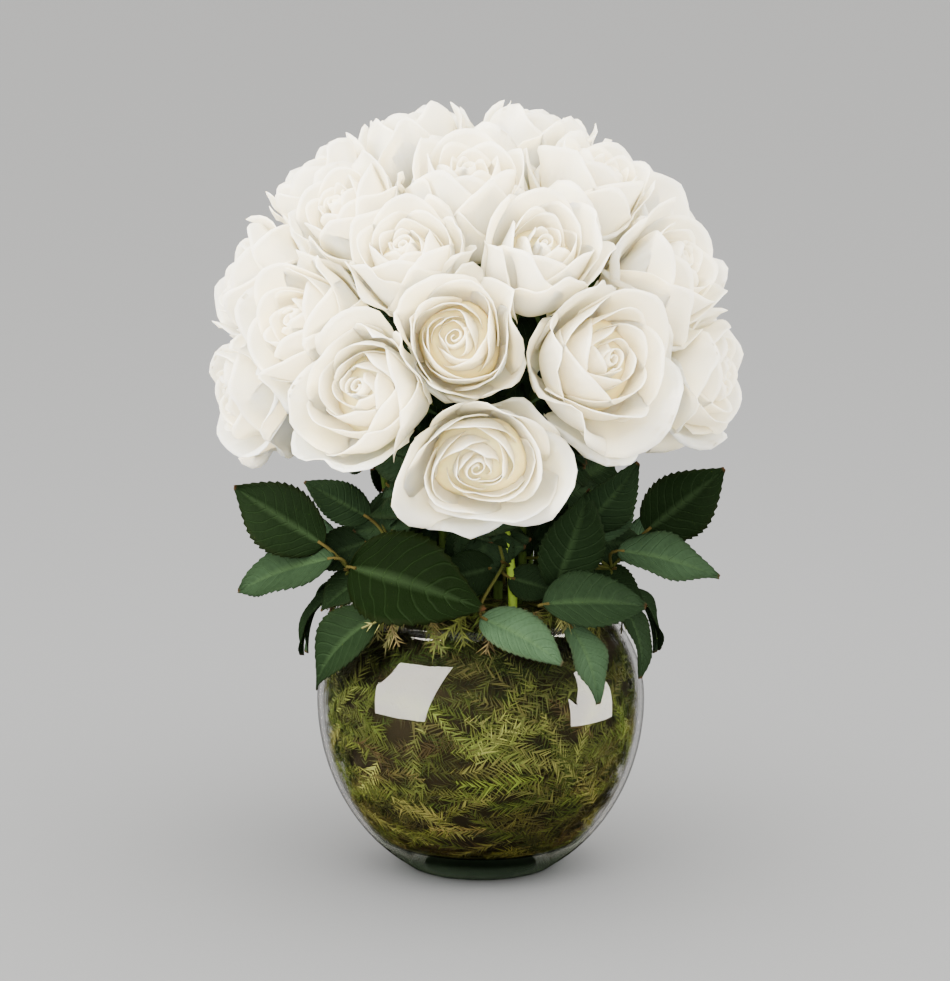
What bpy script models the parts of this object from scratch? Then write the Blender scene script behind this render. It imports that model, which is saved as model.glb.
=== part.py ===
"""A clear glass bowl packed with moss, with a dome of white roses and their leaves standing in it.

Metres, +Z up. The origin is the centre of the bowl's foot, on the surface that it stands on, and the front
faces -Y. Each bloom stands on its own leafy stem, and each stem stands in its own hole in the moss.
"""

import math

import bmesh
import bpy
import numpy as np

# The bowl
BOWL_RADIUS = 0.100
BOWL_WIDEST_Z = 0.104
BOWL_HEIGHT = 0.162
NECK_Z = 0.155
FOOT_RADIUS = 0.043
MOUTH_RADIUS = 0.080
LIP_RADIUS = 0.083
GLASS_WALL = 0.0035
GLASS_FLOOR = 0.012
BOWL_SIDES = 28

# The moss
CLEARANCE = 0.0003
MOSS_LIP_Z = 0.157
MOSS_CROWN_Z = 0.171
MOSS_LEVELS = 8
MOSS_RELIEF = 0.0030

# The dome that the blooms' faces lie on
DOME_CENTRE = np.array([-0.003, 0.0, 0.315])
DOME_RADIUS = 0.156
DOME_HALF_HEIGHT = 0.149

# Each rose: azimuth from the front and elevation on the dome, in degrees, the bloom's radius, how open it is
# from 0 to 1, its turn about its own axis, and how far its axis is tipped up from the dome's own normal.
ROSES = (
    (0.5, -17, 0.054, 0.80, 20, 14),
    (-26, 0.5, 0.056, 0.15, 250, 8),
    (-5, 12, 0.056, 0.60, 75, 0),
    (32, 8, 0.057, 0.75, 140, 8),
    (-48, 15, 0.055, 0.65, 10, 4),
    (-19.5, 34, 0.052, 0.25, 200, 6),
    (19, 35.5, 0.054, 0.30, 320, 6),
    (-2, 57, 0.058, 0.45, 110, 6),
    (-47, 43, 0.045, 0.35, 50, 0),
    (-88, 48, 0.044, 0.15, 95, 0),
    (-84, 20, 0.053, 0.50, 300, 0),
    (-110, 74, 0.047, 0.20, 15, 0),
    (104, 74, 0.047, 0.10, 170, 0),
    (60, 54, 0.054, 0.70, 260, 6),
    (66, 25, 0.057, 0.60, 35, 4),
    (75, -2, 0.042, 0.40, 190, 4),
    (-75, -8, 0.043, 0.45, 330, 2),
    (121, 0, 0.062, 0.60, 80, 4),
    (174, -6, 0.064, 0.70, 150, 4),
    (-129, -2, 0.062, 0.45, 240, 4),
    (112, 36, 0.057, 0.40, 120, 2),
    (168, 37, 0.060, 0.65, 5, 2),
    (-142, 36, 0.058, 0.50, 285, 2),
)
BLOOM_DEPTH = 1.06
CELL_GAP = 0.0012
CELL_FULL = 1.10
CELL_SHARPNESS = 7.0
CELL_LEAN = 0.30
# No petal hangs below this height.
SKIRT_Z = 0.227

# Whorls of petals from the outside in: petals, points across one, place between heart and outside, step at
# a petal's edge as a share of the bloom's radius, and the height shares of the rows of points.
WHORLS = (
    (5, 5, 0.97, 0.060, (0.05, 0.52, 1.0)),
    (4, 4, 0.70, 0.060, (0.40, 1.0)),
    (3, 4, 0.44, 0.055, (0.48, 1.0)),
    (3, 3, 0.16, 0.045, (0.55, 1.0)),
)
BACK_POINTS = 4
INNER_BACK_POINTS = 3
ROLLED_RIM = (0.07, -0.11)
GOLDEN_ANGLE = math.radians(137.5)
PETAL_THICKNESS = 0.0013

# Stems, hips and sepals
STEM_RADIUS = 0.0027
STEM_SIDES = 5
HOLE_RADIUS = 0.0043
HOLE_SIDES = 4
HIP_RADIUS = 0.0062
HIP_LENGTH = 0.012
STEM_BASE_Z = 0.120
STEM_LIFT = 0.050
SEPAL_LENGTH = 0.020
SEPAL_SPREAD = 0.011

# Sprays of leaves: the rose whose stem carries it, the knot where its stalks meet, and its leaflets. Points
# are azimuth, radius and height. A leaflet is its base, its tip, the way that its upper face looks as azimuth
# and elevation, its width as a share of its length, and its arch.
SPRAYS = (
    (16, (-66, 0.086, 0.190), (
        ((-70, 0.100, 0.205), (-86, 0.149, 0.236), (-18, 15), 0.64, 0.05),
        ((-66, 0.096, 0.198), (-86, 0.147, 0.171), (-28, 42), 0.54, 0.08),
        ((-53, 0.096, 0.196), (1, 0.107, 0.181), (-24, 28), 0.64, 0.08),
        ((-40, 0.089, 0.171), (-65, 0.109, 0.119), (-50, 25), 0.56, 0.14),
        ((-78, 0.092, 0.172), (-90, 0.109, 0.130), (-84, 20), 0.52, 0.12),
    )),
    (1, (-46, 0.074, 0.208), (
        ((-48, 0.072, 0.214), (-30, 0.078, 0.244), (-30, 5), 0.62, 0.04),
        ((-54, 0.082, 0.224), (-62, 0.118, 0.247), (-30, 25), 0.55, 0.05),
        ((-60, 0.068, 0.224), (-30, 0.076, 0.238), (-44, 20), 0.56, 0.04),
    )),
    (0, (12, 0.066, 0.200), (
        ((6, 0.068, 0.224), (-2, 0.076, 0.184), (4, 10), 0.82, 0.05),
        ((0, 0.090, 0.172), (26, 0.108, 0.146), (10, 40), 0.58, 0.10),
        ((20, 0.056, 0.184), (14, 0.058, 0.236), (12, 5), 0.72, 0.03),
    )),
    (3, (28, 0.088, 0.176), (
        ((22, 0.096, 0.180), (59, 0.114, 0.172), (42, 38), 0.56, 0.08),
        ((34, 0.092, 0.166), (39, 0.109, 0.119), (38, 22), 0.50, 0.12),
        ((33, 0.080, 0.186), (40, 0.098, 0.246), (18, 0), 0.62, 0.04),
    )),
    (3, (50, 0.076, 0.200), (
        ((50, 0.086, 0.212), (56, 0.106, 0.246), (32, 12), 0.66, 0.04),
        ((44, 0.084, 0.218), (50, 0.120, 0.262), (24, 5), 0.56, 0.04),
    )),
    (15, (68, 0.084, 0.190), (
        ((72, 0.104, 0.213), (75, 0.150, 0.252), (14, 15), 0.68, 0.05),
        ((60, 0.094, 0.204), (74, 0.148, 0.186), (26, 40), 0.50, 0.08),
        ((64, 0.092, 0.172), (60, 0.110, 0.128), (60, 22), 0.54, 0.12),
        ((80, 0.092, 0.174), (88, 0.109, 0.134), (86, 20), 0.50, 0.12),
    )),
    (19, (-110, 0.082, 0.184), (
        ((-106, 0.092, 0.172), (-98, 0.108, 0.128), (-100, 20), 0.52, 0.12),
        ((-112, 0.096, 0.194), (-104, 0.148, 0.212), (-122, 40), 0.56, 0.06),
        ((-122, 0.092, 0.190), (-142, 0.140, 0.184), (-136, 45), 0.60, 0.10),
    )),
    (17, (112, 0.082, 0.184), (
        ((106, 0.092, 0.172), (98, 0.108, 0.128), (100, 20), 0.52, 0.12),
        ((112, 0.096, 0.194), (104, 0.148, 0.212), (122, 40), 0.56, 0.06),
        ((124, 0.092, 0.190), (144, 0.140, 0.184), (138, 45), 0.60, 0.10),
    )),
    (18, (178, 0.080, 0.184), (
        ((170, 0.094, 0.192), (150, 0.140, 0.206), (160, 45), 0.60, 0.08),
        ((180, 0.094, 0.176), (176, 0.112, 0.128), (178, 20), 0.56, 0.12),
        ((-172, 0.094, 0.192), (-156, 0.140, 0.204), (-162, 45), 0.60, 0.08),
        ((-176, 0.078, 0.204), (-166, 0.092, 0.262), (-174, 0), 0.66, 0.04),
    )),
)
LEAF_THICKNESS = 0.0009
LONG_LEAF = 0.060
LEAF_STATIONS = 5
SHORT_LEAF_STATIONS = 4
LEAF_FOLD = 0.22
STALK_RADIUS = 0.0011

SMOOTH_ANGLE = math.radians(38)
GREEN_LEAF = (0.060, 0.130, 0.045)
PETAL_WHITE = (0.900, 0.880, 0.800)
MOSS_GREEN = (0.120, 0.150, 0.035)
GLASS_CLEAR = (0.900, 0.950, 0.940)


def clear_scene():
    """Removes the objects that the file opens with."""
    for obj in list(bpy.data.objects):
        bpy.data.objects.remove(obj)


def material(name, colour, roughness, transmission=0.0):
    """A plain Principled BSDF."""
    made = bpy.data.materials.new(name)
    made.use_nodes = True
    shader = made.node_tree.nodes["Principled BSDF"]
    shader.inputs["Base Color"].default_value = (*colour, 1.0)
    shader.inputs["Roughness"].default_value = roughness
    shader.inputs["Transmission Weight"].default_value = transmission
    return made


def mesh_object(name, points, faces, finish=None):
    """An object made from points and closed faces, turned to face outward."""
    points = np.asarray(points, float)
    volume = 0.0
    for face in faces:
        for k in range(1, len(face) - 1):
            volume += np.dot(points[face[0]], np.cross(points[face[k]], points[face[k + 1]]))
    if volume < 0:
        faces = [tuple(reversed(face)) for face in faces]
    mesh = bpy.data.meshes.new(name)
    mesh.from_pydata(points.tolist(), [], faces)
    mesh.validate()
    obj = bpy.data.objects.new(name, mesh)
    bpy.context.scene.collection.objects.link(obj)
    if finish is not None:
        mesh.materials.append(finish)
    return obj


def unit(vector):
    """The vector at length 1."""
    return vector / np.linalg.norm(vector)


def direction(azimuth, elevation):
    """A unit vector from degrees, azimuth 0 at the front and 90 at the right."""
    a, e = math.radians(azimuth), math.radians(elevation)
    return np.array([math.sin(a) * math.cos(e), -math.cos(a) * math.cos(e), math.sin(e)])


def cylindrical(azimuth, radius, height):
    """A point from its azimuth in degrees, its distance from the bowl's axis and its height."""
    a = math.radians(azimuth)
    return np.array([radius * math.sin(a), -radius * math.cos(a), height])


def bezier(controls, t):
    """Points of a cubic curve at the parameters t."""
    t = np.asarray(t, float)[..., None]
    p0, p1, p2, p3 = (np.asarray(p, float) for p in controls)
    return (1 - t) ** 3 * p0 + 3 * t * (1 - t) ** 2 * p1 + 3 * t**2 * (1 - t) * p2 + t**3 * p3


def frame_about(axis, turn):
    """Rows are two unit vectors across the axis, turned by degrees, and the axis."""
    side = unit(np.cross([0.0, 0.0, 1.0], axis)) if abs(axis[2]) < 0.999 else np.array([1.0, 0.0, 0.0])
    other = np.cross(axis, side)
    c, s = math.cos(math.radians(turn)), math.sin(math.radians(turn))
    return np.array([c * side + s * other, c * other - s * side, axis])


class Rose:
    """Where one rose sits: its base, its axes, its size and the cell that its petals keep to."""

    def __init__(self, index, azimuth, elevation, radius, openness, turn, lift):
        self.index = index
        self.radius = radius
        self.openness = openness
        self.azimuth = azimuth
        self.elevation = elevation
        a, e = math.radians(azimuth), math.radians(elevation)
        level = np.array([math.sin(a), -math.cos(a), 0.0])
        spread = np.array([DOME_RADIUS, DOME_RADIUS, DOME_HALF_HEIGHT])
        outward = math.cos(e) * level + np.array([0.0, 0.0, math.sin(e)])
        self.face = DOME_CENTRE + spread * outward
        normal = unit(outward / spread)
        tip = math.atan2(normal[2], math.hypot(normal[0], normal[1])) + math.radians(lift)
        self.axis = math.cos(tip) * level + np.array([0.0, 0.0, math.sin(tip)])
        self.base = self.face - self.axis * radius * BLOOM_DEPTH
        self.seed = self.base + self.axis * radius * 0.62
        self.frame = frame_about(self.axis, turn)
        self.walls = []


def make_roses():
    """All the roses, each with the walls of its cell: a point and the direction into the cell."""
    roses = [Rose(i, *row) for i, row in enumerate(ROSES)]
    for rose in roses:
        rose.walls.append((np.array([0.0, 0.0, SKIRT_Z]), np.array([0.0, 0.0, 1.0])))
        for other in roses:
            gap = other.seed - rose.seed
            distance = np.linalg.norm(gap)
            if other is rose or distance > 1.6 * (rose.radius + other.radius):
                continue
            share = rose.radius / (rose.radius + other.radius)
            # The lower bloom lies over the higher one, so the wall between them leans that way.
            leaning = CELL_LEAN if rose.seed[2] < other.seed[2] else -CELL_LEAN
            upright = unit(rose.axis + other.axis)
            inward = unit(-gap / distance + leaning * upright)
            point = rose.seed + gap * share
            rose.walls.append((point, inward))
    return roses


def keep_in_cell(points, rose):
    """Points drawn towards the rose's axis, in proportion, so that its outermost petals reach its cell's walls."""
    rise = (points - rose.base) @ rose.axis
    flat = points - rose.base - rise[..., None] * rose.axis
    reach = np.maximum(np.linalg.norm(flat, axis=-1), 1e-6)
    outward = flat / reach[..., None]
    full = CELL_FULL * rose.radius
    total = np.full(reach.shape, full ** -CELL_SHARPNESS)
    for origin, inward in rose.walls:
        room = (rose.base - origin) @ inward + rise * (rose.axis @ inward) - CELL_GAP - PETAL_THICKNESS / 2
        towards = np.maximum(-(outward @ inward), 0.02)
        total = total + np.clip(room / towards, 0.25 * rose.radius, 1.0) ** -CELL_SHARPNESS
    wall = total ** (-1 / CELL_SHARPNESS)
    drawn = np.minimum(reach * (1 - (1 - wall / full) * np.minimum(reach / full, 1.0)), wall)
    return points + outward * (drawn - reach)[..., None]


def petal_profile(layer, openness):
    """Control points, as radius and height shares, of a petal's middle line. layer is 0 inside and 1 outside."""
    places = (0.0, 0.3, 0.5, 0.7, 0.85, 1.0)
    belly = np.interp(layer, places, (0.14, 0.38, 0.58, 0.76, 0.90, 0.98))
    rim = np.interp(layer, places, (0.05, 0.20, 0.36, 0.56, 0.76 + 0.08 * openness, 0.93 + 0.22 * openness))
    top = np.interp(layer, places, (0.95, 1.0, 1.02, 1.02, 0.97 - 0.07 * openness, 0.88 - 0.34 * openness))
    foot = (0.03 + 0.07 * layer, np.interp(layer, (0.0, 0.4, 1.0), (0.34, 0.12, 0.01)))
    return np.array([foot, (belly, foot[1] + 0.03), (belly, 0.64 * top), (rim, top)])


def whorl_grid(rose, rank, start):
    """Points down the middle of one whorl's petals: rows go up it and columns go all round it."""
    petals, across, layer, step, heights = WHORLS[rank]
    if abs(rose.azimuth) > 80:
        across = min(across, BACK_POINTS if rank == 0 else INNER_BACK_POINTS)
    controls = petal_profile(layer, rose.openness)
    if rank == 0:
        controls[3] += ROLLED_RIM
    shares = np.linspace(-1, 1, across)
    rows = []
    for height in heights:
        row = []
        for petal in range(petals):
            for u in shares:
                along = height * (1.0 - 0.26 * abs(u) ** 2.2)
                reach, rise = bezier(controls, along)
                ahead = bezier(controls, along + 0.01) - bezier(controls, along - 0.01)
                out = unit(np.array([ahead[1], -ahead[0]]))
                shift = step * u * (0.25 + 0.75 * along)
                reach, rise = reach + out[0] * shift, rise + out[1] * shift
                turn = start + 2 * math.pi / petals * (petal + 0.5 * u * 0.92)
                row.append((reach * math.cos(turn), reach * math.sin(turn), rise * BLOOM_DEPTH))
        rows.append(row)
    local = np.array(rows) * rose.radius
    return keep_in_cell(rose.base + local @ rose.frame, rose)


def whorl_offsets(grid):
    """How far each point's outer side lies from the middle, square to the petal, mitred at its edges."""
    ahead = np.roll(grid, -1, axis=1) - grid
    behind = grid - np.roll(grid, 1, axis=1)
    ahead = ahead / np.linalg.norm(ahead, axis=-1, keepdims=True)
    behind = behind / np.linalg.norm(behind, axis=-1, keepdims=True)
    round_it = ahead + behind
    length = np.linalg.norm(round_it, axis=-1, keepdims=True)
    up_it = np.gradient(grid, axis=0)
    normal = np.cross(round_it, up_it)
    normal = normal / np.linalg.norm(normal, axis=-1, keepdims=True)
    return normal * np.minimum(2 / length, 1.5) * PETAL_THICKNESS / 2


def angles_about(points, rose):
    """The angle of each point about the bloom's axis."""
    local = (points - rose.base) @ rose.frame.T
    return np.arctan2(local[:, 1], local[:, 0])


def zip_rings(outer, inner, outer_turns, inner_turns):
    """Triangles between two rings of point numbers, each step taken on the ring that lags."""
    start = int(np.argmin(np.abs(np.angle(np.exp(1j * (inner_turns - outer_turns[0]))))))
    n, m = len(outer), len(inner)
    i = j = 0
    faces = []
    while i < n or j < m:
        lead = np.angle(np.exp(1j * (outer_turns[(i + 1) % n] - outer_turns[0]))) % (2 * math.pi)
        other = np.angle(np.exp(1j * (inner_turns[(start + j + 1) % m] - outer_turns[0]))) % (2 * math.pi)
        lead = 2 * math.pi if i + 1 >= n else lead
        other = 2 * math.pi + 0.001 if j + 1 >= m else other
        a, b = outer[i % n], inner[(start + j) % m]
        if j >= m or (i < n and lead <= other):
            faces.append((a, outer[(i + 1) % n], b))
            i += 1
        else:
            faces.append((a, inner[(start + j + 1) % m], b))
            j += 1
    return faces


def make_bloom(rose, finish):
    """One bloom as a closed body: whorl within whorl of petals, stepped where each petal's edge overlaps."""
    points, faces = [rose.base], []
    start = 0.0
    below = None
    for rank in range(len(WHORLS)):
        start += GOLDEN_ANGLE
        grid = whorl_grid(rose, rank, start)
        offsets = whorl_offsets(grid)
        count = grid.shape[1]
        first = len(points)
        rings = [grid[0]] + [grid[k] + offsets[k] for k in range(1, len(grid))] + [grid[-1] - offsets[-1]]
        for ring in rings:
            points += list(ring)
        numbers = [[first + r * count + k for k in range(count)] for r in range(len(rings))]
        if below is None:
            faces += [(0, numbers[0][(k + 1) % count], numbers[0][k]) for k in range(count)]
        else:
            turns = angles_about(np.array([points[k] for k in below]), rose)
            faces += zip_rings(below, numbers[0], turns, angles_about(grid[0], rose))
        for low, high in zip(numbers, numbers[1:]):
            for k in range(count):
                n = (k + 1) % count
                faces += [(low[k], low[n], high[n]), (low[k], high[n], high[k])]
        below = numbers[-1]
    points.append(np.mean([points[k] for k in below], axis=0) - rose.axis * rose.radius * 0.16)
    last = len(points) - 1
    faces += [(below[k], below[(k + 1) % len(below)], last) for k in range(len(below))]
    return mesh_object(f"bloom_{rose.index + 1:02d}", points, faces, finish)


def fuse(name, pieces, finish):
    """The first piece with all the others joined to it by one Boolean union."""
    body, others = pieces[0], pieces[1:]
    body.name = name
    body.data.name = name
    if others:
        combine(body, others, "UNION")
    body.data.materials.clear()
    body.data.materials.append(finish)
    return body


def combine(body, others, operation):
    """The body after one Boolean with a collection of others, which are then removed."""
    group = bpy.data.collections.new(body.name + "_pieces")
    for piece in others:
        group.objects.link(piece)
    step = body.modifiers.new("combine", "BOOLEAN")
    step.operation = operation
    step.operand_type = "COLLECTION"
    step.collection = group
    graph = bpy.context.evaluated_depsgraph_get()
    mesh = bpy.data.meshes.new_from_object(body.evaluated_get(graph))
    body.modifiers.clear()
    body.data = mesh
    for piece in others:
        bpy.data.objects.remove(piece)
    bpy.data.collections.remove(group)


def turned(name, profile, sides, finish):
    """A solid turned about the upright axis from a line of radius and height pairs that starts and ends on it."""
    shape = bmesh.new()
    points = [shape.verts.new((radius, 0.0, height)) for radius, height in profile]
    edges = [shape.edges.new(pair) for pair in zip(points, points[1:])]
    around = {"cent": (0, 0, 0), "axis": (0, 0, 1), "angle": 2 * math.pi, "steps": sides}
    bmesh.ops.spin(shape, geom=points + edges, use_merge=True, **around)
    bmesh.ops.remove_doubles(shape, verts=shape.verts, dist=0.00001)
    bmesh.ops.recalc_face_normals(shape, faces=shape.faces)
    mesh = bpy.data.meshes.new(name)
    shape.to_mesh(mesh)
    shape.free()
    obj = bpy.data.objects.new(name, mesh)
    bpy.context.scene.collection.objects.link(obj)
    mesh.materials.append(finish)
    return obj


def glass_radius(height):
    """The bowl's outer radius at a height below the lip."""
    lower = BOWL_WIDEST_Z / math.sqrt(1 - (FOOT_RADIUS / BOWL_RADIUS) ** 2)
    upper = (NECK_Z - BOWL_WIDEST_Z) / math.sqrt(1 - (MOUTH_RADIUS / BOWL_RADIUS) ** 2)
    half = lower if height < BOWL_WIDEST_Z else upper
    return BOWL_RADIUS * math.sqrt(1 - ((height - BOWL_WIDEST_Z) / half) ** 2)


def inner_profile():
    """Radius and height of the glass's inner side, from the middle of its floor up to the neck."""
    heights = (0.018, 0.045, 0.078, 0.108, 0.134, NECK_Z)
    side = [(glass_radius(z) - GLASS_WALL, z) for z in heights]
    return [(0.0, GLASS_FLOOR), (0.046, GLASS_FLOOR)] + side


def make_bowl(finish):
    """The glass bowl, with a thick floor and a small turned-out lip."""
    outer = [(0.0, 0.0), (FOOT_RADIUS, 0.0)]
    outer += [(glass_radius(z), z) for z in (0.018, 0.045, 0.078, 0.108, 0.134, NECK_Z)]
    top = BOWL_HEIGHT
    lip = [(LIP_RADIUS, top - 0.001), (LIP_RADIUS - 0.0018, top), (LIP_RADIUS - GLASS_WALL, top - 0.001)]
    return turned("glass_bowl", outer + lip + inner_profile()[::-1], BOWL_SIDES, finish)


def along_profile(profile, count):
    """Points evenly spaced along a line of radius and height pairs, with the direction to their left."""
    profile = np.array(profile)
    steps = np.linalg.norm(np.diff(profile, axis=0), axis=1)
    total = np.concatenate([[0], np.cumsum(steps)])
    places = np.linspace(0, total[-1], count)
    spots = np.stack([np.interp(places, total, profile[:, k]) for k in (0, 1)], axis=1)
    ahead = np.gradient(spots, axis=0)
    left = np.stack([-ahead[:, 1], ahead[:, 0]], axis=1)
    return spots, left / np.linalg.norm(left, axis=1, keepdims=True)


def make_moss(finish):
    """The bed of moss that fills the bowl and heaps a little above its lip, in slanting ribs like fronds."""
    side = [p for p in inner_profile()[1:] if p[1] < MOSS_LIP_Z]
    spots, left = along_profile(side, MOSS_LEVELS)
    points = [(0.0, 0.0, GLASS_FLOOR + CLEARANCE)]
    for level, (spot, away) in enumerate(zip(spots, left)):
        for k in range(BOWL_SIDES):
            slant = k + (level % 4 if level % 4 < 3 else 1)
            inset = CLEARANCE + 0.0007 + (MOSS_RELIEF if slant % 2 and 0 < level else 0.0)
            radius, height = spot + away * inset
            a = 2 * math.pi * k / BOWL_SIDES
            points.append((radius * math.cos(a), radius * math.sin(a), height))
    crown = ((0.0740, 0.160), (0.060, 0.166), (0.030, 0.169))
    for level, (radius, height) in enumerate(crown):
        for k in range(BOWL_SIDES):
            rise = MOSS_RELIEF * 0.6 * ((k + level) % 2)
            a = 2 * math.pi * k / BOWL_SIDES
            points.append((radius * math.cos(a), radius * math.sin(a), height + rise))
    points.append((0.0, 0.0, MOSS_CROWN_Z))
    last = len(points) - 1
    rows = MOSS_LEVELS + len(crown)
    faces = []
    for k in range(BOWL_SIDES):
        n = (k + 1) % BOWL_SIDES
        faces.append((0, 1 + n, 1 + k))
        for ring in range(rows - 1):
            a, b = 1 + ring * BOWL_SIDES, 1 + (ring + 1) * BOWL_SIDES
            faces += [(a + k, a + n, b + n), (a + k, b + n, b + k)]
        top = 1 + (rows - 1) * BOWL_SIDES
        faces.append((top + k, top + n, last))
    return mesh_object("moss_bed", points, faces, finish)


def tube_mesh(line, radii, sides):
    """Points and faces of a closed tube along a line of points, with a radius at each."""
    line = np.asarray(line, float)
    tangents = np.gradient(line, axis=0)
    side = np.cross(tangents[0], [0.31, 0.17, 0.93])
    points = []
    for centre, tangent, radius in zip(line, tangents, radii):
        tangent = unit(tangent)
        side = unit(side - tangent * (side @ tangent))
        other = np.cross(tangent, side)
        for k in range(sides):
            a = 2 * math.pi * k / sides
            points.append(centre + radius * (math.cos(a) * side + math.sin(a) * other))
    faces = [tuple(reversed(range(sides)))]
    for ring in range(len(line) - 1):
        a, b = ring * sides, (ring + 1) * sides
        for k in range(sides):
            n = (k + 1) % sides
            faces += [(a + k, a + n, b + n), (a + k, b + n, b + k)]
    faces.append(tuple(range((len(line) - 1) * sides, len(line) * sides)))
    return points, faces


def moss_hole(rose):
    """Where the stem enters the moss, and the way that it goes on down: lower roses stand further out."""
    spread = min(max((rose.elevation + 22) / 100, 0.0), 1.0)
    radius = 0.062 - 0.053 * spread
    azimuth = rose.azimuth + (18 if rose.index == 0 else 0)
    hole = cylindrical(azimuth, radius, MOSS_CROWN_Z)
    foot = cylindrical(azimuth, radius * 0.94, STEM_BASE_Z)
    return hole, foot


def stem_line(rose, count=4):
    """The stem's middle line, from inside the hip down to its cut end in the moss."""
    top = rose.base - rose.axis * HIP_LENGTH
    hole, foot = moss_hole(rose)
    down = unit(foot - hole)
    controls = (top, top - rose.axis * 0.045, hole - down * STEM_LIFT, hole)
    return np.concatenate([bezier(controls, np.linspace(0, 1, count)), [foot]])


def stem_and_hip(rose):
    """The stem, swelling to the hip at its top, where five sepals lie back from it."""
    line = stem_line(rose)
    hip = [rose.base - rose.axis * (CLEARANCE + depth) for depth in (0.0, 0.0030, 0.0075)]
    line = np.concatenate([hip, line[1:]])
    radii = [0.0040, HIP_RADIUS, 0.0050] + [STEM_RADIUS] * (len(line) - 3)
    points, faces = tube_mesh(line, radii, STEM_SIDES)
    points = list(points)
    # Each face round the hip's shoulder is drawn out to the point of a sepal.
    for k in range(STEM_SIDES):
        n = (k + 1) % STEM_SIDES
        corners = (STEM_SIDES + k, STEM_SIDES + n, 2 * STEM_SIDES + n, 2 * STEM_SIDES + k)
        faces.remove(corners[:3])
        faces.remove((corners[0], corners[2], corners[3]))
        middle = np.mean([points[j] for j in corners], axis=0)
        out = unit(middle - rose.base - rose.axis * ((middle - rose.base) @ rose.axis))
        points.append(middle + out * SEPAL_SPREAD - rose.axis * SEPAL_LENGTH)
        faces += [(a, b, len(points) - 1) for a, b in zip(corners, corners[1:] + corners[:1])]
    return mesh_object("stem", points, faces)


def stem_hole(rose):
    """The plain hole that the stem stands in, a little longer than the stem at both ends."""
    hole, foot = moss_hole(rose)
    along = unit(foot - hole)
    line = [hole - along * 0.02, foot + along * CLEARANCE * 2]
    return mesh_object("hole", *tube_mesh(line, [HOLE_RADIUS] * 2, HOLE_SIDES))


def leaf_axes(base, tip, looks):
    """A leaf's length and its unit vectors: along it, across it, and the way that its upper face looks."""
    length = np.linalg.norm(tip - base)
    along = (tip - base) / length
    across = unit(np.cross(along, direction(*looks)))
    return length, along, across, np.cross(across, along)


def leaf_half_width(t):
    """Half width of a rose leaflet along its length, as a share of its greatest."""
    return (np.sin(math.pi * t**0.80) ** 0.80) * (1 - 0.12 * t)


def leaflet(base, tip, looks, width_share, arch):
    """One leaflet as a thin blade with a folded rib and saw teeth down both edges."""
    length, along, across, face = leaf_axes(base, tip, looks)
    stations = LEAF_STATIONS if length > LONG_LEAF and base[1] < 0 else SHORT_LEAF_STATIONS
    t = np.linspace(0, 1, stations + 1)
    bow = (4 * arch * length * t * (1 - t))[:, None]
    rib = base + (tip - base) * t[:, None] + face * bow
    half = leaf_half_width(t[1:-1]) * length * width_share / 2
    tooth = 0.5 * length / stations
    left, right = [], []
    for k in range(1, stations):
        edge = half[k - 1]
        lifted = rib[k] + face * edge * LEAF_FOLD
        left.append((lifted + across * edge * 0.93, lifted + across * edge + along * tooth * 0.55))
        right.append((lifted - across * edge * 0.93, lifted - across * edge + along * tooth * 0.55))
    points, faces = list(rib), []
    rows = {}
    for side, name in ((left, "l"), (right, "r")):
        for k, (notch, point) in enumerate(side, 1):
            rows[name, k] = (len(points), len(points) + 1)
            points += [notch, point]
    for name, flip in (("l", False), ("r", True)):
        strip = [(0, 1, rows[name, 1][0])]
        for k in range(1, stations - 1):
            notch, point = rows[name, k]
            after = rows[name, k + 1][0]
            strip += [(k, k + 1, point), (k, point, notch), (k + 1, after, point)]
        notch, point = rows[name, stations - 1]
        strip += [(stations - 1, stations, point), (stations - 1, point, notch)]
        faces += [tuple(reversed(f)) for f in strip] if flip else strip
    points = np.array(points)
    count = len(points)
    upper = points + face * LEAF_THICKNESS / 2
    lower = points - face * LEAF_THICKNESS / 2
    closed = list(faces) + [tuple(count + k for k in reversed(f)) for f in faces]
    edges = {(f[k], f[(k + 1) % 3]) for f in faces for k in range(3)}
    for a, b in edges:
        if (b, a) not in edges:
            closed += [(b, a, count + a), (b, count + a, count + b)]
    return mesh_object("leaflet", np.concatenate([upper, lower]), closed)


def stalk(start, end, into):
    """A thin stalk from one point to another, where it runs on in the given direction."""
    controls = (start, start + (end - start) * 0.4, end - into * 0.010, end + into * 0.004)
    return mesh_object("stalk", *tube_mesh(bezier(controls, np.linspace(0, 1, 3)), [STALK_RADIUS] * 3, 3))


def make_stem(rose, finish):
    """One rose's green parts: stem, hip, sepals, and the sprays of leaves that its stem carries."""
    pieces = [stem_and_hip(rose)]
    line = stem_line(rose, 25)[4:-1]
    for carrier, knot, leaflets in SPRAYS:
        if carrier != rose.index:
            continue
        knot = cylindrical(*knot)
        reach = np.linalg.norm(line - knot + [0.0, 0.0, 0.004], axis=1)
        root = line[int(np.argmin(reach))]
        pieces.append(stalk(root, knot, unit(knot - root)))
        for base, tip, looks, share, arch in leaflets:
            base, tip = cylindrical(*base), cylindrical(*tip)
            _, along, _, face = leaf_axes(base, tip, looks)
            pieces.append(leaflet(base, tip, looks, share, arch))
            pieces.append(stalk(knot, base, unit(along + face * 4 * arch)))
    return fuse(f"stem_{rose.index + 1:02d}", pieces, finish)


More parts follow.
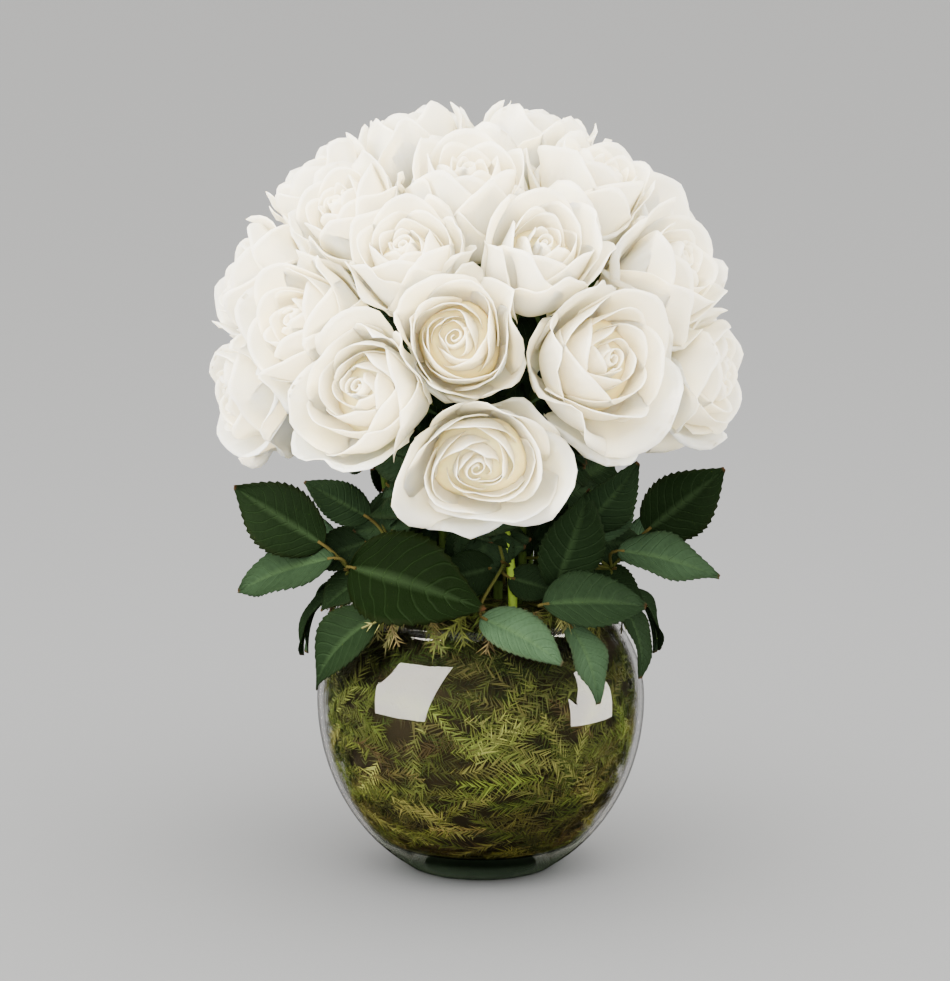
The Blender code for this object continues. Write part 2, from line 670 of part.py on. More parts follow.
def main():
    clear_scene()
    glass = material("clear_glass", GLASS_CLEAR, 0.03, 1.0)
    moss_finish = material("moss", MOSS_GREEN, 0.85)
    green = material("rose_green", GREEN_LEAF, 0.45)
    white = material("petal_white", PETAL_WHITE, 0.55)
    roses = make_roses()
    make_bowl(glass)
    moss = make_moss(moss_finish)
    for rose in roses:
        make_stem(rose, green)
        make_bloom(rose, white)
    combine(moss, [stem_hole(rose) for rose in roses], "DIFFERENCE")
    for obj in bpy.context.scene.objects:
        obj.data.shade_smooth()
        obj.data.set_sharp_from_angle(angle=SMOOTH_ANGLE)


main()
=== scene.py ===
"""White roses and their leaves in a round glass bowl of moss: the fine surfaces, floor, light and camera.

Metres, +Z up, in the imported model's own frame. The roses, leaves and bowl stand where the model's solids do.
"""
import math

import bpy
import numpy as np
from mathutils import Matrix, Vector


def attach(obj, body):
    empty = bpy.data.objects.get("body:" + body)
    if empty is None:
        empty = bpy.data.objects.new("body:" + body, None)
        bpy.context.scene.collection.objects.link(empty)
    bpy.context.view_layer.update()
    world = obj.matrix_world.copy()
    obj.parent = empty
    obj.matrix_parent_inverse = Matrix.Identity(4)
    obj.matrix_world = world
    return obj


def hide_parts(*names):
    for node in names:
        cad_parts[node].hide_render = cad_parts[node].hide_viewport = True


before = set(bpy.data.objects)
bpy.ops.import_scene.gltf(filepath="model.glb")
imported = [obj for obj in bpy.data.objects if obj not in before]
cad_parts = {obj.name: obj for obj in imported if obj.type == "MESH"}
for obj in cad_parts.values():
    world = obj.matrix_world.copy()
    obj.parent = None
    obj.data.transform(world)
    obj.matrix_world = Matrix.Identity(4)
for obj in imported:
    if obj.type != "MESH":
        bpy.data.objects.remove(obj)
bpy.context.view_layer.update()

SEED = 20260

# The bowl, as in the model
BOWL_RADIUS = 0.100
BOWL_WIDEST_Z = 0.104
BOWL_HEIGHT = 0.162
NECK_Z = 0.155
FOOT_RADIUS = 0.043
MOUTH_RADIUS = 0.080
LIP_RADIUS = 0.083
GLASS_WALL = 0.0035
GLASS_FLOOR = 0.012
BOWL_SIDES = 128
GLASS_CLEAR = (0.960, 0.975, 0.965)
# The glass greys towards its outline, where the wall is seen edge-on: partly its own tint through the length
# of glass, partly painted shade for the darker view that the wall would bend in.
GLASS_SIDE = (0.400, 0.370, 0.340)
# The thick foot's colour: its own teal, darkened as painted shade of the table and the shadow seen through it.
GLASS_DEEP_AND_SHADE = (0.080, 0.122, 0.082)
# Heights between which the foot turns clear, and its alpha and transmission at each of the two
FOOT_SOLID = ((0.022, 0.010), (0.55, 0.97))
FOOT_BODY = ((0.014, 0.006), (1.0, 0.25))

# The moss
MOSS_CROWN_Z = 0.171
NEEDLE_STEP = 0.0026
NEEDLE_LENGTH = 0.0115
NEEDLE_WIDTH = 0.0011
TUFTS = 90
TUFT_JOINTS = 13
# The layers of fronds: name, how many, depth behind the moss's surface, and lightness, which paints the
# deeper layers darker as shade
FROND_LAYERS = (("moss_fronds_deep", 350, 0.0046, 0.34), ("moss_fronds_middle", 400, 0.0028, 0.62),
                ("moss_fronds_front", 400, 0.0010, 1.00))
FROND_LENGTHS = (0.026, 0.070)
FROND_BEND = 0.8
FROND_HEADING = 0.50
NEEDLE_SWING = (32, 50)
CORE_DEPTH = 0.0060
CORE_SIDES = 72
MOSS_PALETTE = ((0.250, 0.250, 0.085), (0.150, 0.180, 0.035), (0.085, 0.125, 0.022), (0.170, 0.130, 0.055),
                (0.110, 0.065, 0.035))
# The moss's inner body is painted near black, as the shade between the fronds.
MOSS_CORE_SHADE = (0.013, 0.010, 0.005)
# What the palette is multiplied by at the bottom and at the lip
MOSS_LOW = (0.68, 0.54, 0.42)
MOSS_HIGH = (0.75, 0.85, 0.60)

# The dome that the blooms' faces lie on
DOME_CENTRE = np.array([-0.003, 0.0, 0.315])
DOME_RADIUS = 0.156
DOME_HALF_HEIGHT = 0.149

# Each rose, as in the model: azimuth and elevation on the dome, radius, openness, turn and lift. The last
# number is how deep the warm cream of its heart is, partly its own colour and partly painted warm shade in
# its hollows. Below 0, openness is a bud that is still shut.
ROSES = (
    (0.5, -17, 0.054, 0.80, 20, 14, 0.42),
    (-26, 0.5, 0.056, -0.45, 250, 8, 0.30),
    (-5, 12, 0.056, 0.60, 75, 0, 1.00),
    (32, 8, 0.057, 0.75, 140, 8, 0.75),
    (-48, 15, 0.055, 0.65, 10, 4, 0.50),
    (-19.5, 34, 0.052, 0.00, 200, 6, 0.40),
    (19, 35.5, 0.054, 0.05, 320, 6, 0.45),
    (-2, 57, 0.058, 0.45, 110, 6, 0.50),
    (-47, 43, 0.045, 0.35, 50, 0, 0.45),
    (-88, 48, 0.044, -0.10, 95, 0, 0.35),
    (-84, 20, 0.053, 0.50, 300, 0, 0.50),
    (-110, 74, 0.047, -0.10, 15, 0, 0.40),
    (104, 74, 0.047, -0.20, 170, 0, 0.40),
    (60, 54, 0.054, 0.70, 260, 6, 0.60),
    (66, 25, 0.057, 0.60, 35, 4, 0.60),
    (75, -2, 0.042, 0.40, 190, 4, 0.50),
    (-75, -8, 0.043, 0.45, 330, 2, 0.45),
    (121, 0, 0.062, 0.60, 80, 4, 0.60),
    (174, -6, 0.064, 0.70, 150, 4, 0.70),
    (-129, -2, 0.062, 0.45, 240, 4, 0.50),
    (112, 36, 0.057, 0.40, 120, 2, 0.50),
    (168, 37, 0.060, 0.65, 5, 2, 0.60),
    (-142, 36, 0.058, 0.50, 285, 2, 0.50),
)
BLOOM_DEPTH = 1.06
CELL_GAP = 0.0006
CELL_FULL = 1.10
CELL_SHARPNESS = 7.0
CELL_LEAN = 0.30
SKIRT_Z = 0.227
SEAM_RIPPLE = 0.0030
# A rose's middle, as a share of its radius above its base, and how near, as a share of their radii, a
# neighbour has to be to share a wall with it.
MIDDLE_HEIGHT = 0.62
NEIGHBOUR_REACH = 1.6
SEAM_WAVES = (((118.0, 61.0, -43.0), 0.0), ((-54.0, 97.0, 121.0), 2.0))
# The least room that a cell leaves, as a share of the radius, and the share of a petal's reach past its
# cell's wall that it keeps.
LEAST_ROOM = 0.25
KEPT_PAST_WALL = 0.35

# The petals from the inside out, by their place between heart and outside, and, by that place, half of the
# angle that a petal spans and how far its rim rolls back, in degrees.
PETAL_LAYERS = (0.10, 0.14, 0.18, 0.22, 0.26, 0.30, 0.34, 0.38, 0.42, 0.46, 0.50,
                0.54, 0.58, 0.62, 0.66, 0.70, 0.75, 0.80, 0.85, 0.89, 0.93, 0.965, 1.0)
HALF_ANGLES = ((0.0, 0.4, 0.7, 1.0), (85, 74, 62, 47))
ROLLS = ((0.0, 0.5, 0.7, 0.85, 1.0), (6, 14, 40, 110, 165))
PETAL_THICKNESS = 0.0004
PETAL_COLUMNS = 14
PETAL_ROWS = 12
GOLDEN_ANGLE = math.radians(137.5)
# A petal's middle line, by that place: the radii of its belly and its rim and the height of its top, as
# shares, with what openness adds to them.
PROFILE_PLACES = np.array([0.0, 0.3, 0.5, 0.7, 0.85, 1.0])
BELLIES = np.array([0.14, 0.38, 0.58, 0.76, 0.90, 0.98])
RIMS = np.array([0.05, 0.20, 0.36, 0.56, 0.76, 0.93])
RIMS_OPEN = np.array([0.0, 0.0, 0.08, 0.12, 0.10, 0.22])
TOPS = np.array([0.95, 1.0, 1.02, 1.02, 0.97, 0.88])
TOPS_OPEN = np.array([0.0, 0.0, 0.0, 0.0, -0.07, -0.34])
OUTER_PLACE = 0.8
FEET = ((0.0, 0.4, 1.0), (0.34, 0.12, 0.01))
# Where along that line a petal starts, and the places from which petals count as guard petals, which roll
# back and wave the most.
STARTS = ((0.0, 0.4, 1.0), (0.40, 0.25, 0.05))
GUARD_PLACES = (0.60, 0.80)
# How much petals differ in width, length, roll, the roll of one side against the other, and turn
WIDTH_SPREAD = (0.92, 1.08)
LENGTH_SPREAD = (0.97, 1.02)
ROLL_SPREAD = (0.75, 1.25)
ROLL_TILT = 0.35
TURN_SPREAD = 0.10
# The rim falls away to the sides, and a guard petal has a small point in its middle.
SHOULDER_DROP = 0.34
POINT_HEIGHT = 0.060
POINT_WIDTH = 0.20
# The waves of a whole rose and of one petal, as shares of the radius
ROSE_WAVES = (0.045, 0.026)
OWN_WAVE = (0.008, 0.020)
SIDE_CURL = 0.07
HEART_SPREAD = 0.035
PETAL_SPREAD = 0.014
# How far each petal's one side lies outside its other side, by its place, so that the petals wind into a
# spiral.
SWIRLS = ((0.0, 0.45, 0.75, 1.0), (0.24, 0.20, 0.10, 0.04))
SCROLL_TURNS = 1.8
# The cushion of small petals in a rose's heart: radius and height shares, from its top to its underside
HEART_CUSHION = ((0.0, 0.76), (0.12, 0.76), (0.25, 0.72), (0.38, 0.64), (0.48, 0.54), (0.55, 0.44),
                 (0.44, 0.34), (0.0, 0.28))
CUSHION_SIDES = 24
# The petals' colours. The cream and the heart's yellow, laid on towards a rose's middle and each petal's foot,
# are partly its own colour and partly painted warm shade in its hollows.
PETAL_WHITE = (0.968, 0.908, 0.682)
PETAL_CREAM = (0.975, 0.872, 0.555)
PETAL_HEART = (0.985, 0.765, 0.345)
PETAL_GREEN = (0.720, 0.780, 0.420)
PETAL_BLUSH = (0.850, 0.710, 0.600)

# Stems, hips and sepals
STEM_RADIUS = 0.0027
HIP_RADIUS = 0.0062
HIP_LENGTH = 0.012
STEM_BASE_Z = 0.120
STEM_LIFT = 0.050
CLEARANCE = 0.0003
TUBE_SIDES = 10
# The hip's depth below the bloom and its radius, and the radius of the stem's first ring
HIP_PROFILE = ((0.0, 0.0036), (0.0015, 0.0052), (0.0045, HIP_RADIUS), (0.0080, 0.0052))
STEM_TOP_RADIUS = 0.0034
SEPALS = 5
SEPAL_LENGTHS = (0.020, 0.028)
SEPAL_CURLS = (0.5, 1.2)
SEPAL_WIDTH = 0.0030
THORN_PLACES = (8, 13, 17, 21)
# A thorn's radius at its root, halfway and at its tip, and how far out the last two are
THORN_RADII = (0.0016, 0.0009, 0.0001)
THORN_REACH = (0.0022, 0.0045)
THORN_DROP = 0.0012
# STEM_SHADE darkens every stem but the front one, as painted shade of the leaves over them. The stalks take it
# as their own dark green.
STEM_GREEN = (0.130, 0.200, 0.026)
STEM_SHADE = (0.022, 0.038, 0.008)
HIP_GREEN = (0.050, 0.085, 0.017)

# Sprays of leaves, as in the model: the rose whose stem carries it, the knot, and the leaflets. The last
# number of a leaflet is its shade, from 0, dark, to 1, pale and glossy: partly the leaf's own tone, and
# partly painted shade and painted sheen by how the leaf faces the light.
SPRAYS = (
    (16, (-66, 0.086, 0.190), (
        ((-70, 0.100, 0.205), (-86, 0.149, 0.236), (-18, 15), 0.64, 0.05, 0.03),
        ((-66, 0.096, 0.198), (-86, 0.147, 0.171), (-28, 42), 0.54, 0.08, 0.21),
        ((-53, 0.096, 0.196), (1, 0.107, 0.181), (-24, 28), 0.64, 0.08, 0.00),
        ((-40, 0.089, 0.171), (-65, 0.109, 0.119), (-50, 25), 0.56, 0.14, 0.08),
        ((-78, 0.092, 0.172), (-90, 0.109, 0.130), (-84, 20), 0.52, 0.12, 0.08),
    )),
    (1, (-46, 0.074, 0.208), (
        ((-48, 0.072, 0.214), (-30, 0.078, 0.244), (-30, 5), 0.62, 0.04, 0.15),
        ((-54, 0.082, 0.224), (-62, 0.118, 0.247), (-30, 25), 0.55, 0.05, 0.12),
        ((-60, 0.068, 0.224), (-30, 0.076, 0.238), (-44, 20), 0.56, 0.04, 0.30),
    )),
    (0, (12, 0.066, 0.200), (
        ((6, 0.050, 0.224), (-4, 0.058, 0.182), (4, 10), 0.82, 0.05, 0.16),
        ((0, 0.090, 0.172), (26, 0.108, 0.146), (10, 40), 0.58, 0.10, 0.70),
        ((20, 0.040, 0.184), (14, 0.040, 0.236), (12, 5), 0.72, 0.03, 0.05),
    )),
    (3, (28, 0.088, 0.176), (
        ((22, 0.096, 0.180), (59, 0.114, 0.172), (42, 38), 0.56, 0.08, 0.16),
        ((34, 0.092, 0.166), (39, 0.109, 0.119), (38, 22), 0.50, 0.12, 0.45),
        ((33, 0.080, 0.186), (40, 0.098, 0.246), (18, 0), 0.62, 0.04, 0.06),
    )),
    (3, (50, 0.076, 0.200), (
        ((50, 0.086, 0.212), (56, 0.106, 0.246), (32, 12), 0.66, 0.04, 0.30),
        ((44, 0.084, 0.218), (50, 0.120, 0.262), (24, 5), 0.56, 0.04, 0.10),
    )),
    (15, (68, 0.084, 0.190), (
        ((72, 0.104, 0.213), (75, 0.150, 0.252), (14, 15), 0.68, 0.05, 0.03),
        ((60, 0.094, 0.204), (74, 0.148, 0.186), (26, 40), 0.50, 0.08, 0.34),
        ((64, 0.092, 0.172), (60, 0.110, 0.128), (60, 22), 0.54, 0.12, 0.12),
        ((80, 0.092, 0.174), (88, 0.109, 0.134), (86, 20), 0.50, 0.12, 0.08),
    )),
    (19, (-110, 0.082, 0.184), (
        ((-106, 0.092, 0.172), (-98, 0.108, 0.128), (-100, 20), 0.52, 0.12, 0.30),
        ((-112, 0.096, 0.194), (-104, 0.148, 0.212), (-122, 40), 0.56, 0.06, 0.60),
        ((-122, 0.092, 0.190), (-142, 0.140, 0.184), (-136, 45), 0.60, 0.10, 0.40),
    )),
    (17, (112, 0.082, 0.184), (
        ((106, 0.092, 0.172), (98, 0.108, 0.128), (100, 20), 0.52, 0.12, 0.40),
        ((112, 0.096, 0.194), (104, 0.148, 0.212), (122, 40), 0.56, 0.06, 0.60),
        ((124, 0.092, 0.190), (144, 0.140, 0.184), (138, 45), 0.60, 0.10, 0.30),
    )),
    (18, (178, 0.080, 0.184), (
        ((170, 0.094, 0.192), (150, 0.140, 0.206), (160, 45), 0.60, 0.08, 0.40),
        ((180, 0.094, 0.176), (176, 0.112, 0.128), (178, 20), 0.56, 0.12, 0.70),
        ((-172, 0.094, 0.192), (-156, 0.140, 0.204), (-162, 45), 0.60, 0.08, 0.30),
        ((-176, 0.078, 0.204), (-166, 0.092, 0.262), (-174, 0), 0.66, 0.04, 0.20),
    )),
)
# More leaves on the same knots, which only this finer model has: they close the gaps between the others.
MORE_LEAVES = (
    (16, (-66, 0.086, 0.190), (
        ((-73, 0.069, 0.205), (-80, 0.106, 0.190), (-20, 20), 0.66, 0.05, 0.10),
        ((-64, 0.069, 0.190), (-67, 0.104, 0.166), (-35, 30), 0.64, 0.06, 0.06),
        ((-50, 0.078, 0.200), (-24, 0.082, 0.212), (-34, 12), 0.70, 0.04, 0.12),
    )),
    (15, (68, 0.084, 0.190), (
        ((70, 0.064, 0.205), (79, 0.102, 0.202), (20, 15), 0.66, 0.05, 0.10),
        ((63, 0.070, 0.188), (67, 0.107, 0.168), (35, 30), 0.64, 0.06, 0.06),
        ((54, 0.076, 0.196), (30, 0.082, 0.204), (36, 12), 0.70, 0.04, 0.10),
    )),
    (0, (12, 0.066, 0.200), (
        ((8, 0.058, 0.196), (-24, 0.070, 0.188), (-6, 10), 0.74, 0.04, 0.06),
        ((16, 0.060, 0.190), (36, 0.078, 0.182), (24, 12), 0.74, 0.04, 0.08),
    )),
)
# Dark leaves among the stems, their dark partly painted shade of that hollow: how far up a stem from its
# hip each sits, as a share, and the way that it points, as shares sideways and upward, with its length.
INNER_LEAVES = ((0.30, -1.0, 0.55, 0.056), (0.42, 1.0, 0.35, 0.056), (0.52, -1.0, 0.10, 0.054),
                (0.62, 1.0, 0.00, 0.054), (0.72, -0.8, -0.15, 0.050), (0.82, 0.9, 0.20, 0.046))
# The stems without such leaves: the front one, which shows bare, and the one behind it.
BARE_STEMS = (0, 2)
LEAF_THICKNESS = 0.0006
LEAF_FOLD = 0.22
LEAF_TEETH = 15
LEAF_VEINS = 8
LEAF_SLANT = 2.4
LEAF_CURVE = 2.2
STALK_RADIUS = 0.0011
INNER_WIDTH = 0.66
INNER_ARCH = 0.05
INNER_SHADES = (0.06, 0.25)
TOOTH_DEPTH = 0.065
TOOTH_LEAN = 0.007
VEIN_RELIEF = 0.0007
MIDRIB_GROOVE = 0.0010
LEAF_WAVE = 0.030
# A leaf's shade mixes these two: partly its own tone, partly painted shade. The grey-blue of LEAF_PALE is
# painted sheen.
LEAF_DARK = (0.0022, 0.0054, 0.0013)
LEAF_PALE = (0.0400, 0.0770, 0.0430)
LEAF_VEIN = (0.0450, 0.0850, 0.0350)
LEAF_TIP = (0.070, 0.028, 0.014)

# The floor
FLOOR_RADIUS = 24.0
FLOOR_SIDES = 64
BACKDROP_COLOUR = (0.262, 0.279, 0.314, 1.0)

# The lamps: name, azimuth, elevation, distance, width, height, watts, and what they don't light
LAMPS = (
    ("window_left", -57, 32, 1.5, 1.30, 2.40, 168, ("floor",)),
    ("card_right", 82, 4, 1.5, 1.05, 1.05, 56, ("floor",)),
    ("overhead", 10, 75, 1.6, 1.60, 1.60, 30, ("glass",)),
    ("fill_front", 4, 14, 2.0, 1.20, 1.20, 54, ("floor", "glass")),
)
LAMP_TARGET = (0, 0, 0.22)
LAMP_COLOUR = (1.0, 0.940, 0.830)
SKY_COLOUR = (0.860, 0.812, 0.722, 1.0)
SKY_STRENGTH = 3.30

# The camera
VIEW_TARGET = (-0.0035, 0.0, 0.232)
VIEW_DISTANCE = 2.2
VIEW_ELEVATION = 10.0
LENS = 133.2
SENSOR_WIDTH = 36.0


def unit(vector):
    """The vector at length 1."""
    return vector / np.linalg.norm(vector)


def direction(azimuth, elevation):
    """A unit vector from degrees, azimuth 0 at the front and 90 at the right."""
    a, e = math.radians(azimuth), math.radians(elevation)
    return np.array([math.sin(a) * math.cos(e), -math.cos(a) * math.cos(e), math.sin(e)])


def cylindrical(azimuth, radius, height):
    """A point from its azimuth in degrees, its distance from the bowl's axis and its height."""
    a = math.radians(azimuth)
    return np.array([radius * math.sin(a), -radius * math.cos(a), height])


def bezier(controls, t):
    """Points of a cubic curve at the parameters t."""
    t = np.asarray(t, float)[..., None]
    p0, p1, p2, p3 = (np.asarray(p, float) for p in controls)
    return (1 - t) ** 3 * p0 + 3 * t * (1 - t) ** 2 * p1 + 3 * t**2 * (1 - t) * p2 + t**3 * p3


def smooth(low, high, value):
    """0 below low, 1 above high, and a smooth rise between."""
    t = np.clip((value - low) / (high - low), 0, 1)
    return t * t * (3 - 2 * t)


def around(turn, reach, rise):
    """Points from their turn about an axis in radians, their distance from it and their height along it."""
    return np.stack([reach * np.cos(turn), reach * np.sin(turn), rise], axis=-1)


def frame_about(axis, turn):
    """Rows are two unit vectors across the axis, turned by degrees, and the axis."""
    side = unit(np.cross([0.0, 0.0, 1.0], axis)) if abs(axis[2]) < 0.999 else np.array([1.0, 0.0, 0.0])
    other = np.cross(axis, side)
    c, s = math.cos(math.radians(turn)), math.sin(math.radians(turn))
    return np.array([c * side + s * other, c * other - s * side, axis])


def mix(first, second, share):
    """Colours between two, for an array of shares."""
    share = np.asarray(share, float)[..., None]
    return np.asarray(first) * (1 - share) + np.asarray(second) * share


class Shape:
    """Closed shells gathered into one mesh, each point with a colour and a place across its blade."""

    def __init__(self):
        self.points, self.faces, self.tints, self.places, self.count = [], [], [], [], 0

    def add(self, points, faces, tints, places=None):
        points = np.asarray(points, float)
        tints = np.broadcast_to(np.asarray(tints, float), (len(points), 3))
        places = np.zeros((len(points), 2)) if places is None else places
        self.points.append(points)
        self.faces.append(np.asarray(faces) + self.count)
        self.tints.append(tints)
        self.places.append(places)
        self.count += len(points)

    def build(self, name, material, smoothed=True):
        """The mesh object, with its colours as an attribute and its places as a UV map."""
        points = np.concatenate(self.points)
        faces = np.concatenate(self.faces)
        sides = faces.shape[1]
        mesh = bpy.data.meshes.new(name)
        mesh.vertices.add(len(points))
        mesh.vertices.foreach_set("co", points.ravel())
        mesh.loops.add(faces.size)
        mesh.loops.foreach_set("vertex_index", faces.ravel().astype(np.int32))
        mesh.polygons.add(len(faces))
        mesh.polygons.foreach_set("loop_start", np.arange(0, faces.size, sides, dtype=np.int32))
        tints = np.concatenate(self.tints)
        colours = mesh.color_attributes.new("tint", "FLOAT_COLOR", "POINT")
        colours.data.foreach_set("color", np.concatenate([tints, np.ones((len(tints), 1))], axis=1).ravel())
        places = np.concatenate(self.places)[faces.ravel()]
        mesh.uv_layers.new(name="place").data.foreach_set("uv", places.ravel())
        mesh.update(calc_edges=True)
        mesh.polygons.foreach_set("use_smooth", np.full(len(faces), smoothed))
        mesh.materials.append(material)
        obj = bpy.data.objects.new(name, mesh)
        bpy.context.scene.collection.objects.link(obj)
        return obj


def blade(grid, thickness, tints, places):
    """A closed thin shell about a grid of points, as points, quads, colours and places."""
    rows, columns = grid.shape[0], grid.shape[1]
    normal = np.cross(np.gradient(grid, axis=1), np.gradient(grid, axis=0))
    normal /= np.maximum(np.linalg.norm(normal, axis=-1, keepdims=True), 1e-12)
    thin = np.broadcast_to(np.asarray(thickness), grid.shape[:2])[..., None]
    sides = (grid + normal * thin / 2, grid - normal * thin / 2)
    points = np.concatenate([side.reshape(-1, 3) for side in sides])
    number = np.arange(rows * columns).reshape(rows, columns)
    a, b, c, d = number[:-1, :-1], number[:-1, 1:], number[1:, 1:], number[1:, :-1]
    front = np.stack([a, b, c, d], axis=-1).reshape(-1, 4)
    back = front[:, ::-1] + rows * columns
    rim = np.concatenate([number[0, :-1], number[:-1, -1], number[-1, :0:-1], number[:0:-1, 0]])
    ahead = np.roll(rim, -1)
    edge = np.stack([ahead, rim, rim + rows * columns, ahead + rows * columns], axis=-1)
    faces = np.concatenate([front, back, edge])
    tints = np.concatenate([tints.reshape(-1, 3)] * 2)
    places = np.concatenate([places.reshape(-1, 2)] * 2)
    return points, faces, tints, places


def ring_faces(levels, sides):
    """Quads of a closed body whose points are an end, so many rings and the other end."""
    k = np.arange(sides)
    n = (k + 1) % sides
    starts = 1 + sides * np.arange(levels)
    faces = [np.stack([a + k, a + n, a + sides + n, a + sides + k], axis=1) for a in starts[:-1]]
    even = k[::2]
    far = (even + 2) % sides
    last, a = 1 + sides * levels, starts[-1]
    faces.append(np.stack([0 * even, 1 + far, 2 + even, 1 + even], axis=1))
    faces.append(np.stack([0 * even + last, a + even, a + even + 1, a + far], axis=1))
    return np.concatenate(faces)


def tube(line, radii, sides):
    """Points and quads of a closed tube along a line, its ends drawn together."""
    line = np.asarray(line, float)
    tangents = np.gradient(line, axis=0)
    tangents /= np.linalg.norm(tangents, axis=1, keepdims=True)
    side = np.cross(tangents[0], [0.31, 0.17, 0.93])
    rings = []
    turns = 2 * math.pi * np.arange(sides) / sides
    for centre, tangent, radius in zip(line, tangents, radii):
        side = unit(side - tangent * (side @ tangent))
        other = np.cross(tangent, side)
        rings.append(centre + radius * (np.outer(np.cos(turns), side) + np.outer(np.sin(turns), other)))
    return np.concatenate([line[:1], *rings, line[-1:]]), ring_faces(len(line), sides)


def turned(name, profile, sides, material, tints):
    """A closed solid turned about the upright axis from a line that starts and ends on it."""
    turns = 2 * math.pi * np.arange(sides) / sides
    inner = profile[1:-1]
    body = around(turns, inner[:, :1], inner[:, 1:] + 0 * turns).reshape(-1, 3)
    points = np.concatenate([[[0, 0, profile[0][1]]], body, [[0, 0, profile[-1][1]]]])
    tints = np.concatenate([tints[:1], np.repeat(tints[1:-1], sides, axis=0), tints[-1:]])
    shape = Shape()
    # The map keeps each point's height.
    places = np.stack([0 * points[:, 2], points[:, 2]], axis=1)
    shape.add(points, ring_faces(len(inner), sides), tints, places)
    return shape.build(name, material)


class Rose:
    """Where one rose sits: its base, its axes, its size and the cell that its petals keep to."""

    def __init__(self, index, azimuth, elevation, radius, openness, turn, lift, warm_cream_and_shade):
        self.index = index
        self.radius = radius
        self.openness = openness
        self.azimuth = azimuth
        self.elevation = elevation
        self.warm_cream_and_shade = warm_cream_and_shade
        self.random = np.random.default_rng(SEED + index)
        a, e = math.radians(azimuth), math.radians(elevation)
        level = np.array([math.sin(a), -math.cos(a), 0.0])
        spread = np.array([DOME_RADIUS, DOME_RADIUS, DOME_HALF_HEIGHT])
        outward = math.cos(e) * level + np.array([0.0, 0.0, math.sin(e)])
        face = DOME_CENTRE + spread * outward
        normal = unit(outward / spread)
        tip = math.atan2(normal[2], math.hypot(normal[0], normal[1])) + math.radians(lift)
        self.axis = math.cos(tip) * level + np.array([0.0, 0.0, math.sin(tip)])
        self.base = face - self.axis * radius * BLOOM_DEPTH
        self.seed = self.base + self.axis * radius * MIDDLE_HEIGHT
        self.turn = turn
        self.frame = frame_about(self.axis, 0)
        self.phase = self.random.uniform(0, 2 * math.pi)
        self.heart_shift = self.random.normal(0, HEART_SPREAD, 2)
        self.hand = 1 if index % 2 == 0 else -1
        self.walls = []


def make_roses():
    """All the roses, each with the walls of its cell: a point, the direction into the cell and a side."""
    roses = [Rose(i, *row) for i, row in enumerate(ROSES)]
    for rose in roses:
        rose.walls.append((np.array([0.0, 0.0, SKIRT_Z]), np.array([0.0, 0.0, 1.0]), 1))
        for other in roses:
            gap = other.seed - rose.seed
            distance = np.linalg.norm(gap)
            if other is rose or distance > NEIGHBOUR_REACH * (rose.radius + other.radius):
                continue
            share = rose.radius / (rose.radius + other.radius)
            leaning = CELL_LEAN if rose.seed[2] < other.seed[2] else -CELL_LEAN
            inward = unit(-gap / distance + leaning * unit(rose.axis + other.axis))
            sign = 1 if rose.index < other.index else -1
            rose.walls.append((rose.seed + gap * share, inward, sign))
    return roses


def ripple(points):
    """A gentle wave through space, so that the seam between two roses isn't straight."""
    return SEAM_RIPPLE * sum(np.sin(points @ np.array(wave) + phase) for wave, phase in SEAM_WAVES) / 2


def keep_in_cell(points, rose):
    """Points drawn in proportion towards the rose's axis, so that its outer petals reach its cell's walls."""
    rise = (points - rose.base) @ rose.axis
    flat = points - rose.base - rise[..., None] * rose.axis
    reach = np.maximum(np.linalg.norm(flat, axis=-1), 1e-6)
    outward = flat / reach[..., None]
    full = CELL_FULL * rose.radius
    total = np.full(reach.shape, full ** -CELL_SHARPNESS)
    for origin, inward, sign in rose.walls:
        room = (rose.base - origin) @ inward + rise * (rose.axis @ inward)
        room = room - CELL_GAP + sign * ripple(points)
        towards = np.maximum(-(outward @ inward), 0.02)
        total = total + np.clip(room / towards, LEAST_ROOM * rose.radius, 1.0) ** -CELL_SHARPNESS
    wall = total ** (-1 / CELL_SHARPNESS)
    share = reach / full
    inside, beyond = reach * (1 - (1 - wall / full) * share), wall + (reach - full) * KEPT_PAST_WALL
    drawn = np.where(share < 1, inside, beyond)
    return points + outward * (drawn - reach)[..., None]


def petal_profile(layer, openness):
    """Control points, as radius and height shares, of a petal's middle line. layer is 0 inside, 1 outside."""
    # A shut bud draws only its outer petals in.
    opening = np.where(PROFILE_PLACES > OUTER_PLACE, openness, max(openness, 0.0))
    belly = np.interp(layer, PROFILE_PLACES, BELLIES)
    rim = np.interp(layer, PROFILE_PLACES, RIMS + RIMS_OPEN * opening)
    top = np.interp(layer, PROFILE_PLACES, TOPS + TOPS_OPEN * opening)
    foot = (0.03 + 0.07 * layer, np.interp(layer, *FEET))
    return np.array([foot, (belly, foot[1] + 0.03), (belly, 0.64 * top), (rim, top)])


def petal_tints(rose, layer, u, v, greenish):
    """The petal's colour over its face: white at the rim, cream below, green at an outer petal's foot."""
    # Painted warm shade, with the rose's own cream: the colour warms towards the rose's middle and each
    # petal's foot.
    deep = rose.warm_cream_and_shade * (1 - layer) ** 0.8
    tint = mix(PETAL_WHITE, PETAL_CREAM, np.clip(deep * 0.75 + rose.warm_cream_and_shade * 0.45 * (1 - v) ** 1.3, 0, 1))
    tint = mix(tint, PETAL_HEART, deep * (1 - v) ** 1.2)
    green = 1.14 - smooth(0.05, 0.55, v) + 0.35 * smooth(0.55, 1.0, np.abs(u)) * (1 - 0.5 * v)
    tint = mix(tint, PETAL_GREEN, np.clip(greenish * green, 0, 1))
    return mix(tint, PETAL_BLUSH, 0.30 * smooth(0.95, 1.0, v) * max(0.0, layer - 0.5))


